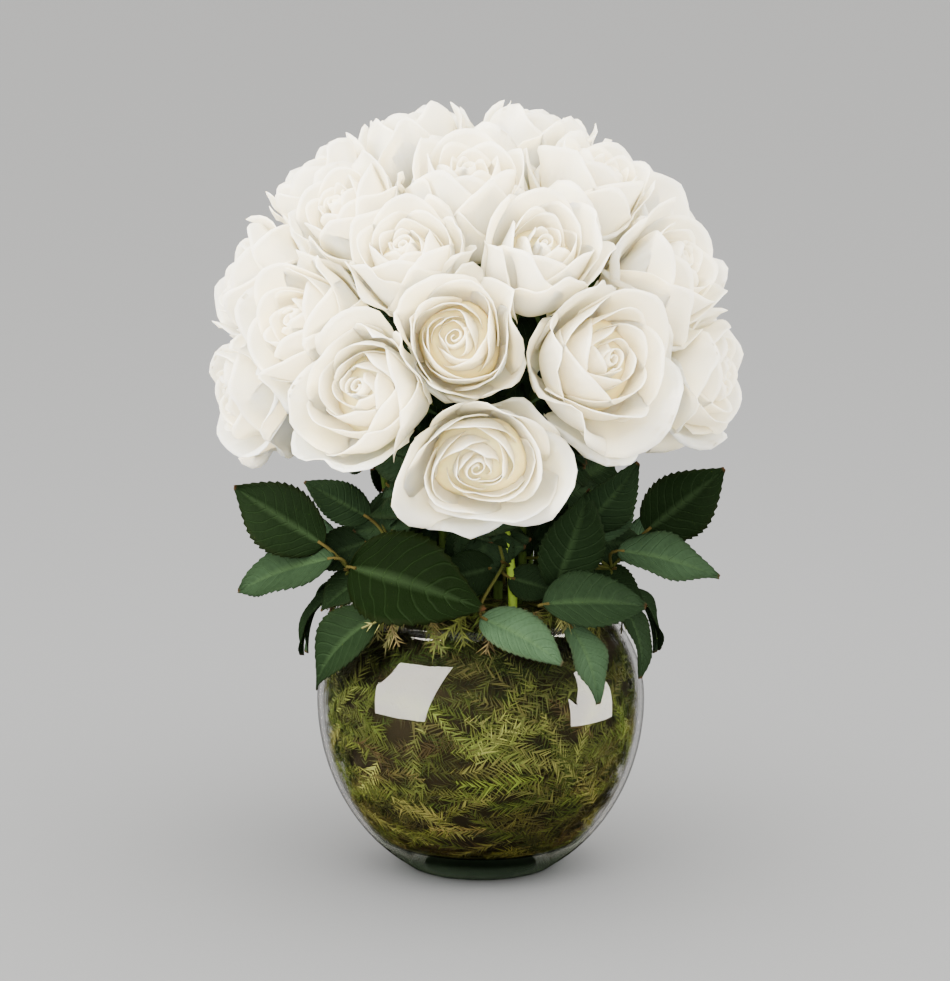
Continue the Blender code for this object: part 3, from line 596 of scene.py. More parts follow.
def rolled(reach, rise, bend):
    """A line's radii and heights, with each of its steps turned outward by its bend."""
    step_reach, step_rise = np.diff(reach, axis=0), np.diff(rise, axis=0)
    turned_reach = step_reach * np.cos(bend) + step_rise * np.sin(bend)
    turned_rise = step_rise * np.cos(bend) - step_reach * np.sin(bend)
    reach = reach[:1] + np.concatenate([0 * reach[:1], np.cumsum(turned_reach, axis=0)])
    rise = rise[:1] + np.concatenate([0 * rise[:1], np.cumsum(turned_rise, axis=0)])
    return reach, rise


def in_place(rose, local):
    """Points on the rose from points in its own frame, as shares of its radius."""
    return keep_in_cell(rose.base + (local * rose.radius) @ rose.frame, rose)


def petal(rose, layer, angle):
    """One petal as a closed shell: cupped at its foot, rolled back at its rim, drawn to a soft point."""
    random = rose.random
    u, v = np.meshgrid(np.linspace(-1, 1, PETAL_COLUMNS + 1), np.linspace(0, 1, PETAL_ROWS + 1) ** 0.85)
    half_angle = math.radians(np.interp(layer, *HALF_ANGLES)) * random.uniform(*WIDTH_SPREAD)
    roll = math.radians(np.interp(layer, *ROLLS)) * (0.65 + 0.5 * rose.openness)
    roll = roll * random.uniform(*ROLL_SPREAD)
    guard = smooth(*GUARD_PLACES, layer)
    start = np.interp(layer, *STARTS)
    top = 1.0 - SHOULDER_DROP * np.abs(u) ** 1.9 + POINT_HEIGHT * guard * np.exp(-((u / POINT_WIDTH) ** 2))
    along = (start + (1 - start) * v) * top * random.uniform(*LENGTH_SPREAD)
    controls = petal_profile(layer, rose.openness)
    line = bezier(controls, np.minimum(along, 1.0))
    line = line + np.maximum(along - 1.0, 0.0)[..., None] * 3 * (controls[3] - controls[2])
    # The rim rolls back more beside its point than at it.
    side = 1 - guard * 0.72 * np.exp(-((u / 0.30) ** 2)) + random.uniform(-ROLL_TILT, ROLL_TILT) * u
    bend = (roll * side * smooth(0.62, 1.03, v) ** 1.5)[1:]
    reach, rise = rolled(line[..., 0], line[..., 1], bend)
    turn = angle + u * half_angle * (0.52 + 0.48 * smooth(0.0, 0.55, v))
    turn = turn + guard * random.normal(0, TURN_SPREAD) * v
    # The whole rose waves together, and each outer petal's rim a little more by itself.
    out = np.stack([np.gradient(rise, axis=0), -np.gradient(reach, axis=0)], axis=-1)
    out /= np.maximum(np.linalg.norm(out, axis=-1, keepdims=True), 1e-9)
    shared = ROSE_WAVES[0] * np.sin(2 * turn + rose.phase)
    shared = shared + ROSE_WAVES[1] * np.sin(3 * turn - 2 * rose.phase)
    own = np.sin(random.uniform(1.2, 2.6) * u * math.pi + random.uniform(0, 2 * math.pi))
    own = own + 0.5 * np.sin(random.uniform(3.5, 5.5) * u * math.pi + random.uniform(0, 2 * math.pi))
    shift = shared * v * (0.25 + 0.75 * layer) + own * (OWN_WAVE[0] + OWN_WAVE[1] * guard) * v**3
    shift = shift + guard * SIDE_CURL * smooth(0.55, 1.0, np.abs(u)) ** 2 * smooth(0.2, 0.9, v)
    reach, rise = reach + out[..., 0] * shift, rise + out[..., 1] * shift
    reach = reach * (1 + rose.hand * np.interp(layer, *SWIRLS) * u * smooth(0.1, 0.8, v))
    local = around(turn, reach, rise * BLOOM_DEPTH)
    wander = random.normal(0, PETAL_SPREAD, 2) * (1 - layer)
    local[..., :2] += rose.heart_shift * ((1 - layer) ** 1.5 * smooth(0.0, 0.6, v))[..., None] + wander
    greenish = smooth(0.84, 1.0, layer) * random.uniform(0.0, 0.8)
    thin = PETAL_THICKNESS * (1.35 - 0.6 * v)
    tints = petal_tints(rose, layer, u, v, greenish)
    return blade(in_place(rose, local), thin, tints, np.stack([u, v], axis=-1))


def heart_scroll(rose):
    """The rolled innermost petals, as one sheet wound into a tight spiral."""
    u, v = np.meshgrid(np.linspace(0, 1, 61), np.linspace(0, 1, 6))
    turn = 2 * math.pi * SCROLL_TURNS * u * rose.hand + rose.index
    spread = (0.018 + 0.085 * u) * (1 + 0.55 * np.sin(math.pi * (0.15 + 0.80 * v)))
    spread = spread * (1 + 0.16 * np.sin(2 * turn))
    rise = 0.45 + 0.50 * v - 0.05 * (1 - u) * v
    local = around(turn, spread, rise * BLOOM_DEPTH)
    local[..., :2] += rose.heart_shift
    tints = petal_tints(rose, 0.0, u * 0 + 0.5, 0.45 + 0.55 * v, 0.0)
    return blade(in_place(rose, local), PETAL_THICKNESS, tints, np.stack([u * 6, v], axis=-1))


def heart_cushion(rose):
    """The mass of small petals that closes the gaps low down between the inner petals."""
    turn = 2 * math.pi * np.arange(CUSHION_SIDES) / CUSHION_SIDES
    uneven = 1 + 0.05 * np.sin(2 * turn + rose.phase)
    rings = [around(turn, reach * uneven, rise + 0 * turn) for reach, rise in HEART_CUSHION[1:-1]]
    top, foot = ([[0.0, 0.0, HEART_CUSHION[k][1]]] for k in (0, -1))
    local = np.concatenate([top, *rings, foot]) * [1, 1, BLOOM_DEPTH]
    # Its rings run down and not up, so its faces are turned inside out.
    faces = np.roll(ring_faces(len(rings), CUSHION_SIDES)[:, ::-1], 1, axis=1)
    # The cushion takes the heart's warm colour, partly painted warm shade.
    return in_place(rose, local), faces, mix(PETAL_CREAM, PETAL_HEART, 0.5 + 0.5 * rose.warm_cream_and_shade)


def make_bloom(rose, material):
    """All of one rose's petals as one piece, each a golden angle on from the last."""
    shape = Shape()
    shape.add(*heart_scroll(rose))
    shape.add(*heart_cushion(rose))
    for k, layer in enumerate(PETAL_LAYERS):
        shape.add(*petal(rose, layer, math.radians(rose.turn) + GOLDEN_ANGLE * k))
    return shape.build(f"rose_petals_{rose.index + 1:02d}", material)


def moss_hole(rose):
    """Where the stem enters the moss, and where it ends inside it."""
    spread = min(max((rose.elevation + 22) / 100, 0.0), 1.0)
    radius = 0.062 - 0.053 * spread
    azimuth = rose.azimuth + (18 if rose.index == 0 else 0)
    return cylindrical(azimuth, radius, MOSS_CROWN_Z), cylindrical(azimuth, radius * 0.94, STEM_BASE_Z)


def stem_line(rose, count=25):
    """The stem's middle line, from inside the hip down to its cut end in the moss."""
    top = rose.base - rose.axis * HIP_LENGTH
    hole, foot = moss_hole(rose)
    down = unit(foot - hole)
    controls = (top, top - rose.axis * 0.045, hole - down * STEM_LIFT, hole)
    return np.concatenate([bezier(controls, np.linspace(0, 1, count)), [foot]])


def add_sepals(shape, rose):
    """Narrow green blades that hang from the hip."""
    start = rose.base - rose.axis * (CLEARANCE + 0.0030)
    t, u = np.linspace(0, 1, 9), np.linspace(-1, 1, 5)
    v = np.repeat(t[:, None], len(u), axis=1)
    for k in range(SEPALS):
        a = 2 * math.pi * (k + 0.3) / SEPALS
        out = math.cos(a) * rose.frame[0] + math.sin(a) * rose.frame[1]
        across = np.cross(rose.axis, out)
        length = rose.random.uniform(*SEPAL_LENGTHS)
        curl = rose.random.uniform(*SEPAL_CURLS)
        outward = 0.004 + 0.012 * np.sin(t * 1.7) + 0.004 * curl * t**2
        middle = start + np.outer(outward, out) - np.outer(length * t**1.3, rose.axis)
        width = SEPAL_WIDTH * np.clip(1 - t, 0.06, 1) ** 0.8
        grid = middle[:, None] + across * (width[:, None] * u)[..., None]
        grid = grid + rose.axis * (0.0012 * u**2)[None, :, None]
        shape.add(*blade(grid, LEAF_THICKNESS, mix(HIP_GREEN, LEAF_PALE, v), np.stack([v * 0, v], axis=-1)))


def add_thorns(shape, rose, line):
    """A few small spikes down the stem."""
    for k in THORN_PLACES:
        towards = direction(rose.random.uniform(-180, 180), 10)
        out = unit(np.cross(unit(line[k + 1] - line[k - 1]), towards))
        root = line[k] + out * STEM_RADIUS * 0.7
        spike = [root, root + out * THORN_REACH[0], root + out * THORN_REACH[1] - [0, 0, THORN_DROP]]
        points, faces = tube(spike, THORN_RADII, 6)
        shape.add(points, faces, mix(STEM_GREEN, LEAF_TIP, np.linspace(0, 0.6, len(points))))


def add_stem(shape, rose):
    """The stem, its hip, its sepals and its thorns."""
    hip = [rose.base - rose.axis * (CLEARANCE + depth) for depth, _ in HIP_PROFILE]
    line = np.concatenate([hip, stem_line(rose)])
    radii = [radius for _, radius in HIP_PROFILE] + [STEM_TOP_RADIUS]
    points, faces = tube(line, radii + [STEM_RADIUS] * (len(line) - len(radii)), TUBE_SIDES)
    shade = np.ones(len(points))
    shade[: TUBE_SIDES * len(radii)] = 0.0
    # Every stem but the front one is painted darker, as shade.
    shape.add(points, faces, mix(HIP_GREEN, STEM_GREEN if rose.index == 0 else STEM_SHADE, shade))
    add_sepals(shape, rose)
    add_thorns(shape, rose, line)


def leaf_axes(base, tip, looks):
    """A leaf's length and its unit vectors: along it, across it, and the way that its upper face looks."""
    length = np.linalg.norm(tip - base)
    along = (tip - base) / length
    across = unit(np.cross(along, direction(*looks)))
    return length, along, across, np.cross(across, along)


def leaf_tints(t, edge, between, shade, random):
    """A leaflet's colour: painted shade in its vein valleys and towards its edge, a paler rib, a brown tip and
    edge.
    """
    # Painted shade: darker in the vein valleys and towards the edge.
    tint = mix(LEAF_DARK, LEAF_PALE, np.clip(shade * (0.72 + 0.42 * between) * (1.1 - 0.35 * edge**2), 0, 1))
    rib = 0.45 * smooth(0.07, 0.01, edge) * (1 - 0.6 * t)
    tint = mix(tint, np.array(LEAF_VEIN) * (0.5 + shade), rib)
    brown = 0.6 * smooth(0.970, 1.0, t)
    brown = brown + (0.02 + 0.08 * shade) * smooth(0.95, 1.0, edge) * random.uniform(0, 1)
    return mix(tint, LEAF_TIP, brown)


def add_leaflet(shape, base, tip, looks, width_share, arch, shade, random, fine=True):
    """One leaflet: saw-toothed edge, sunken veins with the blade quilted up between them."""
    length, along, across, face = leaf_axes(base, tip, looks)
    rows, columns = (LEAF_TEETH * 4 + 1, 13) if fine else (LEAF_TEETH * 2 + 1, 7)
    t = np.linspace(0, 1, rows)
    tt, uu = np.meshgrid(t, np.linspace(-1, 1, columns), indexing="ij")
    edge = np.abs(uu)
    fullness = np.sin(math.pi * np.clip(t, 0.0005, 0.9995) ** 0.82) ** (0.62 + 0.42 * t)
    half = (fullness * (1 - 0.10 * t) * length * width_share / 2 + LEAF_THICKNESS)[:, None]
    tooth = (t * LEAF_TEETH) % 1.0
    notch = np.where(tooth < 0.75, tooth / 0.75, (1 - tooth) / 0.25)[:, None]
    # The veins slant and curve as they do in the leaf's material.
    sideways = edge * width_share
    quilt = tt * (LEAF_VEINS + 1) - sideways * (LEAF_SLANT + LEAF_CURVE * sideways)
    between = np.abs(np.sin(math.pi * quilt)) ** 0.40
    relief = VEIN_RELIEF * (between - 0.5) * (1 - edge**4) * smooth(0.0, 0.12, edge)
    relief = relief * smooth(0.0, 0.1, tt) * smooth(1.0, 0.85, tt)
    bow = 4 * arch * length * tt * (1 - tt)
    wave = np.sin(tt * math.pi * random.uniform(2, 4) + random.uniform(0, 6.28) + uu)
    wave = LEAF_WAVE * length * edge**2 * wave
    fold = LEAF_FOLD * edge**1.25 * half - MIDRIB_GROOVE * smooth(0.10, 0.0, edge)
    points = base + (tip - base) * tt[..., None] + face * (bow + relief + wave + fold)[..., None]
    # The teeth lean towards the tip.
    toothed = uu * half * (1 + TOOTH_DEPTH * (notch - 0.5) * edge**8)
    leaning = TOOTH_LEAN * length * notch * edge**6
    points = points + across * toothed[..., None] + along * leaning[..., None]
    tint = leaf_tints(tt, edge, between, shade, random)
    places = np.stack([uu * width_share, tt], axis=-1)
    shape.add(*blade(points[:, ::-1], LEAF_THICKNESS, tint[:, ::-1], places[:, ::-1]))


def add_stalk(shape, start, end, into):
    """A thin stalk from one point to another, where it runs on in the given direction."""
    controls = (start, start + (end - start) * 0.4, end - into * 0.010, end + into * 0.004)
    points, faces = tube(bezier(controls, np.linspace(0, 1, 9)), [STALK_RADIUS * 0.9] * 9, 8)
    shape.add(points, faces, mix(STEM_SHADE, LEAF_TIP, np.linspace(0.1, 0.45, len(points))))


def add_inner_leaves(shape, rose):
    """Dark leaves close to the stem, flat towards the outside, that close the gaps below the blooms: partly
    painted shade.
    """
    line = stem_line(rose, 41)
    for share, sideways, upward, length in INNER_LEAVES:
        centre = line[int(share * 40)]
        azimuth = math.degrees(math.atan2(centre[0], -centre[1])) + rose.random.normal(0, 8)
        tangent = cylindrical(azimuth + 90, 1.0, 0.0)
        along = unit(tangent * sideways + np.array([0.0, 0.0, upward]) + rose.random.normal(0, 0.12, 3))
        base = centre + along * 0.006
        tip = base + along * length * rose.random.uniform(0.85, 1.1)
        # Every second leaf is turned more to the front or the back than its stem is.
        ahead = azimuth if abs(azimuth) < 90 else azimuth - math.copysign(180, azimuth)
        turned_by = -0.55 * ahead if sideways > 0 else 0.0
        looks = (azimuth + turned_by + rose.random.normal(0, 12), rose.random.uniform(0, 30))
        shade = rose.random.uniform(*INNER_SHADES)
        add_leaflet(shape, base, tip, looks, INNER_WIDTH, INNER_ARCH, shade, rose.random, fine=False)
        add_stalk(shape, centre, base, along)


def make_greens(rose, material):
    """One rose's stem with its hip, sepals, thorns and sprays of leaves."""
    shape = Shape()
    add_stem(shape, rose)
    line = stem_line(rose)[4:-1]
    for carrier, knot, leaflets in SPRAYS + MORE_LEAVES:
        if carrier != rose.index:
            continue
        knot = cylindrical(*knot)
        reach = np.linalg.norm(line - knot + [0.0, 0.0, 0.004], axis=1)
        root = line[int(np.argmin(reach))]
        add_stalk(shape, root, knot, unit(knot - root))
        for base, tip, looks, share, arch, shade in leaflets:
            base, tip = cylindrical(*base), cylindrical(*tip)
            _, along, _, face = leaf_axes(base, tip, looks)
            add_leaflet(shape, base, tip, looks, share, arch, shade, rose.random)
            add_stalk(shape, knot, base, unit(along + face * 4 * arch))
    if rose.index not in BARE_STEMS:
        add_inner_leaves(shape, rose)
    return shape.build(f"leafy_stem_{rose.index + 1:02d}", material)


def glass_radius(height):
    """The bowl's outer radius at a height below the lip."""
    lower = BOWL_WIDEST_Z / math.sqrt(1 - (FOOT_RADIUS / BOWL_RADIUS) ** 2)
    upper = (NECK_Z - BOWL_WIDEST_Z) / math.sqrt(1 - (MOUTH_RADIUS / BOWL_RADIUS) ** 2)
    height = np.asarray(height, float)
    half = np.where(height < BOWL_WIDEST_Z, lower, upper)
    return BOWL_RADIUS * np.sqrt(1 - ((height - BOWL_WIDEST_Z) / half) ** 2)


def inner_profile(count):
    """Radius and height of the glass's inner side, from the middle of its floor up to the neck."""
    heights = np.linspace(0.019, NECK_Z, count)
    side = np.stack([glass_radius(heights) - GLASS_WALL, heights], axis=1)
    t = np.linspace(0, 1, 14)
    corner = bezier([(0.0, GLASS_FLOOR), (0.034, GLASS_FLOOR), (0.053, 0.0135), side[0]], t)[:-1]
    return np.concatenate([corner, side])


def make_glass(outside, inside):
    """The bowl: thick floor, curved wall, small lip with a round edge. Its inside doesn't mirror."""
    heights = np.linspace(0.004, NECK_Z, 48)
    outer = np.stack([glass_radius(heights), heights], axis=1)
    foot = [(0.0, 0.0012), (0.024, 0.0008), (0.034, 0.0), (FOOT_RADIUS, 0.0), (FOOT_RADIUS + 0.0022, 0.0008)]
    rim_z = BOWL_HEIGHT - 0.0012
    flare = (outer[-1], (0.0795, 0.1585), (0.0815, 0.1600), (LIP_RADIUS, rim_z))
    turns = np.linspace(0, math.pi, 9)[1:]
    middle = LIP_RADIUS - GLASS_WALL / 2
    edge = np.stack([middle + GLASS_WALL / 2 * np.cos(turns), rim_z + 0.0012 * np.sin(turns)], axis=1)
    lip = bezier(flare, np.linspace(0, 1, 6))[1:]
    profile = np.concatenate([foot, outer, lip, edge, inner_profile(48)[::-1]])
    thick = smooth(0.028, 0.013, profile[:, 1])
    # The thick foot takes its dark teal, partly painted shade.
    bowl = turned("glass", profile, BOWL_SIDES, outside, mix(GLASS_CLEAR, GLASS_DEEP_AND_SHADE, thick))
    bowl.data.materials.append(inside)
    for face in bowl.data.polygons:
        inward = face.normal.x * face.center.x + face.normal.y * face.center.y < 0
        on_floor = face.normal.z > 0.5 and face.center.z > GLASS_FLOOR / 2
        in_lip = face.center.z > NECK_Z
        face.material_index = 1 if (inward or on_floor) and not in_lip else 0
    return bowl


class MossBed:
    """The moss's outer surface, as a line of radius and height run round the bowl's axis."""

    def __init__(self):
        side = inner_profile(60)
        side = side[side[:, 1] < 0.156]
        top = MOSS_CROWN_Z + 0.002
        crown = bezier([side[-1], (0.078, 0.172), (0.045, top), (0.0, top)], np.linspace(0, 1, 24))[1:]
        self.line = np.concatenate([side, crown])
        steps = np.linalg.norm(np.diff(self.line, axis=0), axis=1)
        self.run = np.concatenate([[0], np.cumsum(steps)])
        ahead = np.gradient(self.line, axis=0)
        away = np.stack([-ahead[:, 1], ahead[:, 0]], axis=1)
        self.away = away / np.linalg.norm(away, axis=1, keepdims=True)
        self.lip = self.run[len(side) - 1]
        self.length = self.run[-1]

    def at(self, azimuth, run, inset):
        """Points at an azimuth in radians, a run up the line from the floor's middle, and a depth below."""
        line, away = (np.array([np.interp(run, self.run, rows[:, k]) for k in (0, 1)])
                      for rows in (self.line, self.away))
        radius, height = line + away * inset
        return np.stack([radius * np.sin(azimuth), -radius * np.cos(azimuth), height], axis=-1)

    def radius(self, run):
        """The line's radius at a run, and never so small that a step round it is a whole turn."""
        return np.maximum(np.interp(run, self.run, self.line[:, 0]), 0.010)

    def onward(self, azimuth, run, heading, distance):
        """The azimuth and run that a step over the surface ends at, heading 0 being level."""
        return azimuth + np.cos(heading) * distance / self.radius(run), run + np.sin(heading) * distance


def moss_colour(random, first, second):
    """A colour between two of the palette's first ones."""
    one, other = random.integers(0, first), random.integers(0, second)
    return mix(MOSS_PALETTE[one], MOSS_PALETTE[other], random.uniform())


def add_frond(shape, bed, random, azimuth, run, heading, length, depth, tint):
    """One frond: a thin rib with a row of needles down each side, laid against the glass."""
    count = int(length / NEEDLE_STEP)
    t = np.linspace(0, 1, count)
    bend = random.normal(0, FROND_BEND)
    angle = heading + bend * (t - 0.5) + 0.12 * np.sin(t * random.uniform(6, 14) + random.uniform(0, 6))
    step = length / count
    up = np.clip(run + np.cumsum(np.sin(angle)) * step, 0.012, bed.length - 0.012)
    turn = azimuth + np.cumsum(np.cos(angle) * step / bed.radius(up))
    reach = NEEDLE_LENGTH * random.uniform(0.8, 1.15) * np.sin(math.pi * (0.12 + 0.86 * t)) ** 0.5
    points, tints = [], []
    for side in (-1, 1):
        swing = angle + side * math.radians(random.uniform(*NEEDLE_SWING)) + random.normal(0, 0.13, count)
        far = reach * random.uniform(0.65, 1.15, count)
        shift = random.uniform(-0.5, 0.5, count) * NEEDLE_STEP
        root = bed.at(*bed.onward(turn, up, angle, shift), depth)
        tip_turn, tip_run = bed.onward(turn, up, swing, far)
        tip_run = np.clip(tip_run, 0.008, bed.length - 0.004)
        tip = bed.at(tip_turn, tip_run, depth + random.uniform(-0.0008, 0.0012, count))
        across = bed.at(*bed.onward(turn, up, angle, NEEDLE_WIDTH), depth) - root
        below = bed.at(turn, up, depth + 0.0005)
        points.append(np.stack([root - across * 0.5, root + across * 0.5, below, tip], axis=1))
        # Each needle's corner sunk into the moss is darker, as painted shade, and its tip lighter.
        shade = random.uniform(0.55, 1.35, (count, 1, 1)) * np.array([0.8, 0.8, 0.55, 1.25])[None, :, None]
        tints.append(np.asarray(tint)[None, None, :] * shade)
    points = np.concatenate(points).reshape(-1, 3)
    number = np.arange(len(points)).reshape(-1, 4)
    a, b, c, d = number.T
    faces = np.concatenate([np.stack(f, axis=1) for f in ((a, b, d), (b, c, d), (c, a, d), (a, c, b))])
    shape.add(points, faces, np.concatenate(tints).reshape(-1, 3))


def add_tufts(shape, random):
    """Short sprigs that stick up between the leaves and hang over the bowl's lip."""
    for k in range(TUFTS):
        azimuth = 2 * math.pi * (k + random.uniform()) / TUFTS
        outward = np.array([math.sin(azimuth), -math.cos(azimuth), 0.0])
        aside = np.cross([0.0, 0.0, 1.0], outward) * random.normal(0, 0.010)
        root = outward * random.uniform(0.062, 0.076) + [0, 0, 0.168]
        over = outward * random.uniform(0.087, 0.094) + aside * 2 + [0, 0, random.uniform(0.150, 0.164)]
        controls = (root, root + outward * 0.010 + [0, 0, 0.008], over + [0, 0, 0.014] - aside, over)
        line = bezier(controls, np.linspace(0, 1, TUFT_JOINTS + 1))
        tint = moss_colour(random, 3, 5) * random.uniform(0.30, 0.70)
        points, faces = tube(line, [0.0006] * len(line), 4)
        shape.add(points, np.concatenate([faces[:, [0, 1, 2]], faces[:, [0, 2, 3]]]), tint * 0.7)
        for joint in range(1, TUFT_JOINTS):
            ahead = unit(line[joint + 1] - line[joint - 1])
            beside = unit(np.cross(ahead, outward + [0, 0, 1]))
            for side in (-1, 1):
                along = unit(ahead + beside * side * 0.8 + random.normal(0, 0.15, 3))
                tip = line[joint] + along * NEEDLE_LENGTH * random.uniform(0.5, 0.95)
                width = unit(np.cross(along, outward + [0, 0, 1])) * NEEDLE_WIDTH * 0.5
                corners = (line[joint] - width, line[joint] + width, line[joint] - outward * 0.0005, tip)
                faces = [(0, 1, 3), (1, 2, 3), (2, 0, 3), (0, 2, 1)]
                shape.add(corners, faces, tint * random.uniform(0.6, 1.4))


def moss_tint(bed, random, azimuth, run):
    """A frond's colour: browner low down, a painted shadow of the leaves under the lip, and in patches round
    the bowl.
    """
    colour = moss_colour(random, 5, 3) * mix(MOSS_LOW, MOSS_HIGH, smooth(0.05, 0.17, run))
    patch = 0.85 + 0.17 * math.sin(5 * azimuth + 95 * run) + 0.17 * math.sin(9 * azimuth - 140 * run + 2)
    # Painted shadow of the leaves over the moss just below the lip.
    shadow = 0.72 * smooth(bed.lip - 0.070, bed.lip - 0.010, run)
    return colour * patch * random.uniform(0.60, 1.25) * (1 - shadow)


def make_moss(material, core_material):
    """The moss: a near-black inner body of painted shade, and layers of fronds over it, painted darker the
    deeper.
    """
    bed = MossBed()
    core_line = bed.line + bed.away * CORE_DEPTH
    core_line[[0, -1], 0] = 0.0
    core_line[:, 0] = np.maximum(core_line[:, 0], 0.0)
    core_tints = np.tile(MOSS_CORE_SHADE, (len(core_line), 1))
    pieces = [turned("moss_heart", core_line, CORE_SIDES, core_material, core_tints)]
    random = np.random.default_rng(SEED)
    for name, count, depth, light in FROND_LAYERS:
        shape = Shape()
        for k in range(count):
            run = 0.030 + (bed.length - 0.040) * (k + random.uniform()) / count
            azimuth = GOLDEN_ANGLE * k + random.normal(0, 0.15)
            flip = math.pi if random.uniform() < 0.5 else 0.0
            heading = flip + random.normal(0.0, FROND_HEADING)
            length = random.uniform(*FROND_LENGTHS) * (0.7 if run > bed.lip else 1.0)
            # The deeper layers are painted darker, as shade.
            tint = light * moss_tint(bed, random, azimuth, run)
            add_frond(shape, bed, random, azimuth, run, heading, length, depth, tint)
        if name == FROND_LAYERS[-1][0]:
            add_tufts(shape, random)
        pieces.append(shape.build(name, material, smoothed=False))
    return pieces


def nodes_of(name):
    """A new material's node tree and its Principled shader."""
    material = bpy.data.materials.new(name)
    material.use_nodes = True
    return material, material.node_tree, material.node_tree.nodes["Principled BSDF"]


def set_inputs(tree, node, inputs):
    """Links each of a node's inputs that is given a socket, and gives the others their values."""
    for name, value in inputs.items():
        if isinstance(value, bpy.types.NodeSocket):
            tree.links.new(value, node.inputs[name])
        else:
            node.inputs[name].default_value = value


def add_node(tree, kind, inputs, **properties):
    """A new node, with its properties and inputs."""
    node = tree.nodes.new(kind)
    for name, value in properties.items():
        setattr(node, name, value)
    set_inputs(tree, node, inputs)
    return node


def calculated(tree, operation, *terms):
    """The result of a sum on sockets and numbers."""
    return add_node(tree, "ShaderNodeMath", dict(enumerate(terms)), operation=operation).outputs[0]


def ranged(tree, value, bounds, results=(0.0, 1.0), **properties):
    """A socket's value, carried from the range between its bounds to the range of its results."""
    names = ("Value", "From Min", "From Max", "To Min", "To Max")
    inputs = dict(zip(names, (value, *bounds, *results)))
    return add_node(tree, "ShaderNodeMapRange", inputs, **properties).outputs["Result"]


def noise(tree, inputs):
    """A noise texture's value."""
    return add_node(tree, "ShaderNodeTexNoise", inputs).outputs["Fac"]


def bump(tree, height, strength, distance):
    """The normal of a surface with a height laid over it."""
    inputs = {"Height": height, "Strength": strength, "Distance": distance}
    return add_node(tree, "ShaderNodeBump", inputs).outputs["Normal"]


def own_tint(tree):
    """The colours that the mesh itself carries."""
    return add_node(tree, "ShaderNodeAttribute", {}, attribute_name="tint").outputs["Color"]


def mottled(tree, coords, scale, share):
    """The mesh's own colours, lightened and darkened a little by noise."""
    spots = noise(tree, {"Vector": coords["Object"], "Scale": scale, "Detail": 4.0})
    light = ranged(tree, spots, (0.0, 1.0), (1.0 - share, 1.0 + share))
    inputs = {0: own_tint(tree), "Scale": light}
    return add_node(tree, "ShaderNodeVectorMath", inputs, operation="SCALE").outputs["Vector"]


def petal_material():
    """Soft petals that let some light through, with fine veins along them."""
    material, tree, shader = nodes_of("petal")
    coords = add_node(tree, "ShaderNodeTexCoord", {}).outputs
    stretch = add_node(tree, "ShaderNodeMapping", {"Vector": coords["UV"], "Scale": (26.0, 2.2, 1.0)})
    veins = noise(tree, {"Vector": stretch.outputs["Vector"], "Scale": 1.0, "Detail": 5.0})
    set_inputs(tree, shader, {
        "Base Color": mottled(tree, coords, 60.0, 0.05),
        "Normal": bump(tree, veins, 0.30, 0.0006),
        "Roughness": 0.60,
        "Specular IOR Level": 0.25,
        "Subsurface Weight": 0.70,
        "Subsurface Radius": (0.0100, 0.0075, 0.0042),
        "Subsurface Scale": 1.0,
        "Sheen Weight": 0.08,
    })
    return material


def leaf_material():
    """Dull blades. Their side veins slant forward from the rib, each a narrow valley and a paler line."""
    material, tree, shader = nodes_of("leaf")
    coords = add_node(tree, "ShaderNodeTexCoord", {}).outputs
    place = add_node(tree, "ShaderNodeSeparateXYZ", {"Vector": coords["UV"]}).outputs
    wobble = noise(tree, {"Vector": coords["Object"], "Scale": 55.0})
    sideways = calculated(tree, "ABSOLUTE", place["X"])
    curve = calculated(tree, "ADD", calculated(tree, "MULTIPLY", sideways, LEAF_CURVE), LEAF_SLANT)
    slant = calculated(tree, "MULTIPLY", sideways, curve)
    slant = calculated(tree, "ADD", slant, calculated(tree, "MULTIPLY", wobble, 0.9))
    along = calculated(tree, "MULTIPLY", place["Y"], LEAF_VEINS + 1.0)
    quilt = calculated(tree, "FRACT", calculated(tree, "SUBTRACT", along, slant))
    valley = calculated(tree, "ABSOLUTE", calculated(tree, "SUBTRACT", quilt, 0.5))
    line = ranged(tree, valley, (0.36, 0.50), interpolation_type="SMOOTHSTEP")
    vein = calculated(tree, "MULTIPLY", line, ranged(tree, sideways, (0.004, 0.020)))
    inputs = {"Vector": coords["Object"], "Scale": 700.0}
    cells = add_node(tree, "ShaderNodeTexVoronoi", inputs, feature="DISTANCE_TO_EDGE").outputs["Distance"]
    height = calculated(tree, "SUBTRACT", calculated(tree, "MULTIPLY", cells, 0.5), vein)
    inputs = {
        "Factor": calculated(tree, "MULTIPLY", vein, 0.05),
        "A": mottled(tree, coords, 90.0, 0.20),
        "B": (*LEAF_VEIN, 1.0),
    }
    set_inputs(tree, shader, {
        "Base Color": add_node(tree, "ShaderNodeMix", inputs, data_type="RGBA").outputs["Result"],
        "Normal": bump(tree, height, 0.60, 0.0009),
        "Roughness": 0.46,
        "Specular IOR Level": 0.008,
    })
    return material


def moss_material(name, roughness):
    """Dry moss, mottled."""
    material, tree, shader = nodes_of(name)
    coords = add_node(tree, "ShaderNodeTexCoord", {}).outputs
    set_inputs(tree, shader, {
        "Base Color": mottled(tree, coords, 40.0, 0.35),
        "Roughness": roughness,
        "Specular IOR Level": 0.12,
    })
    return material


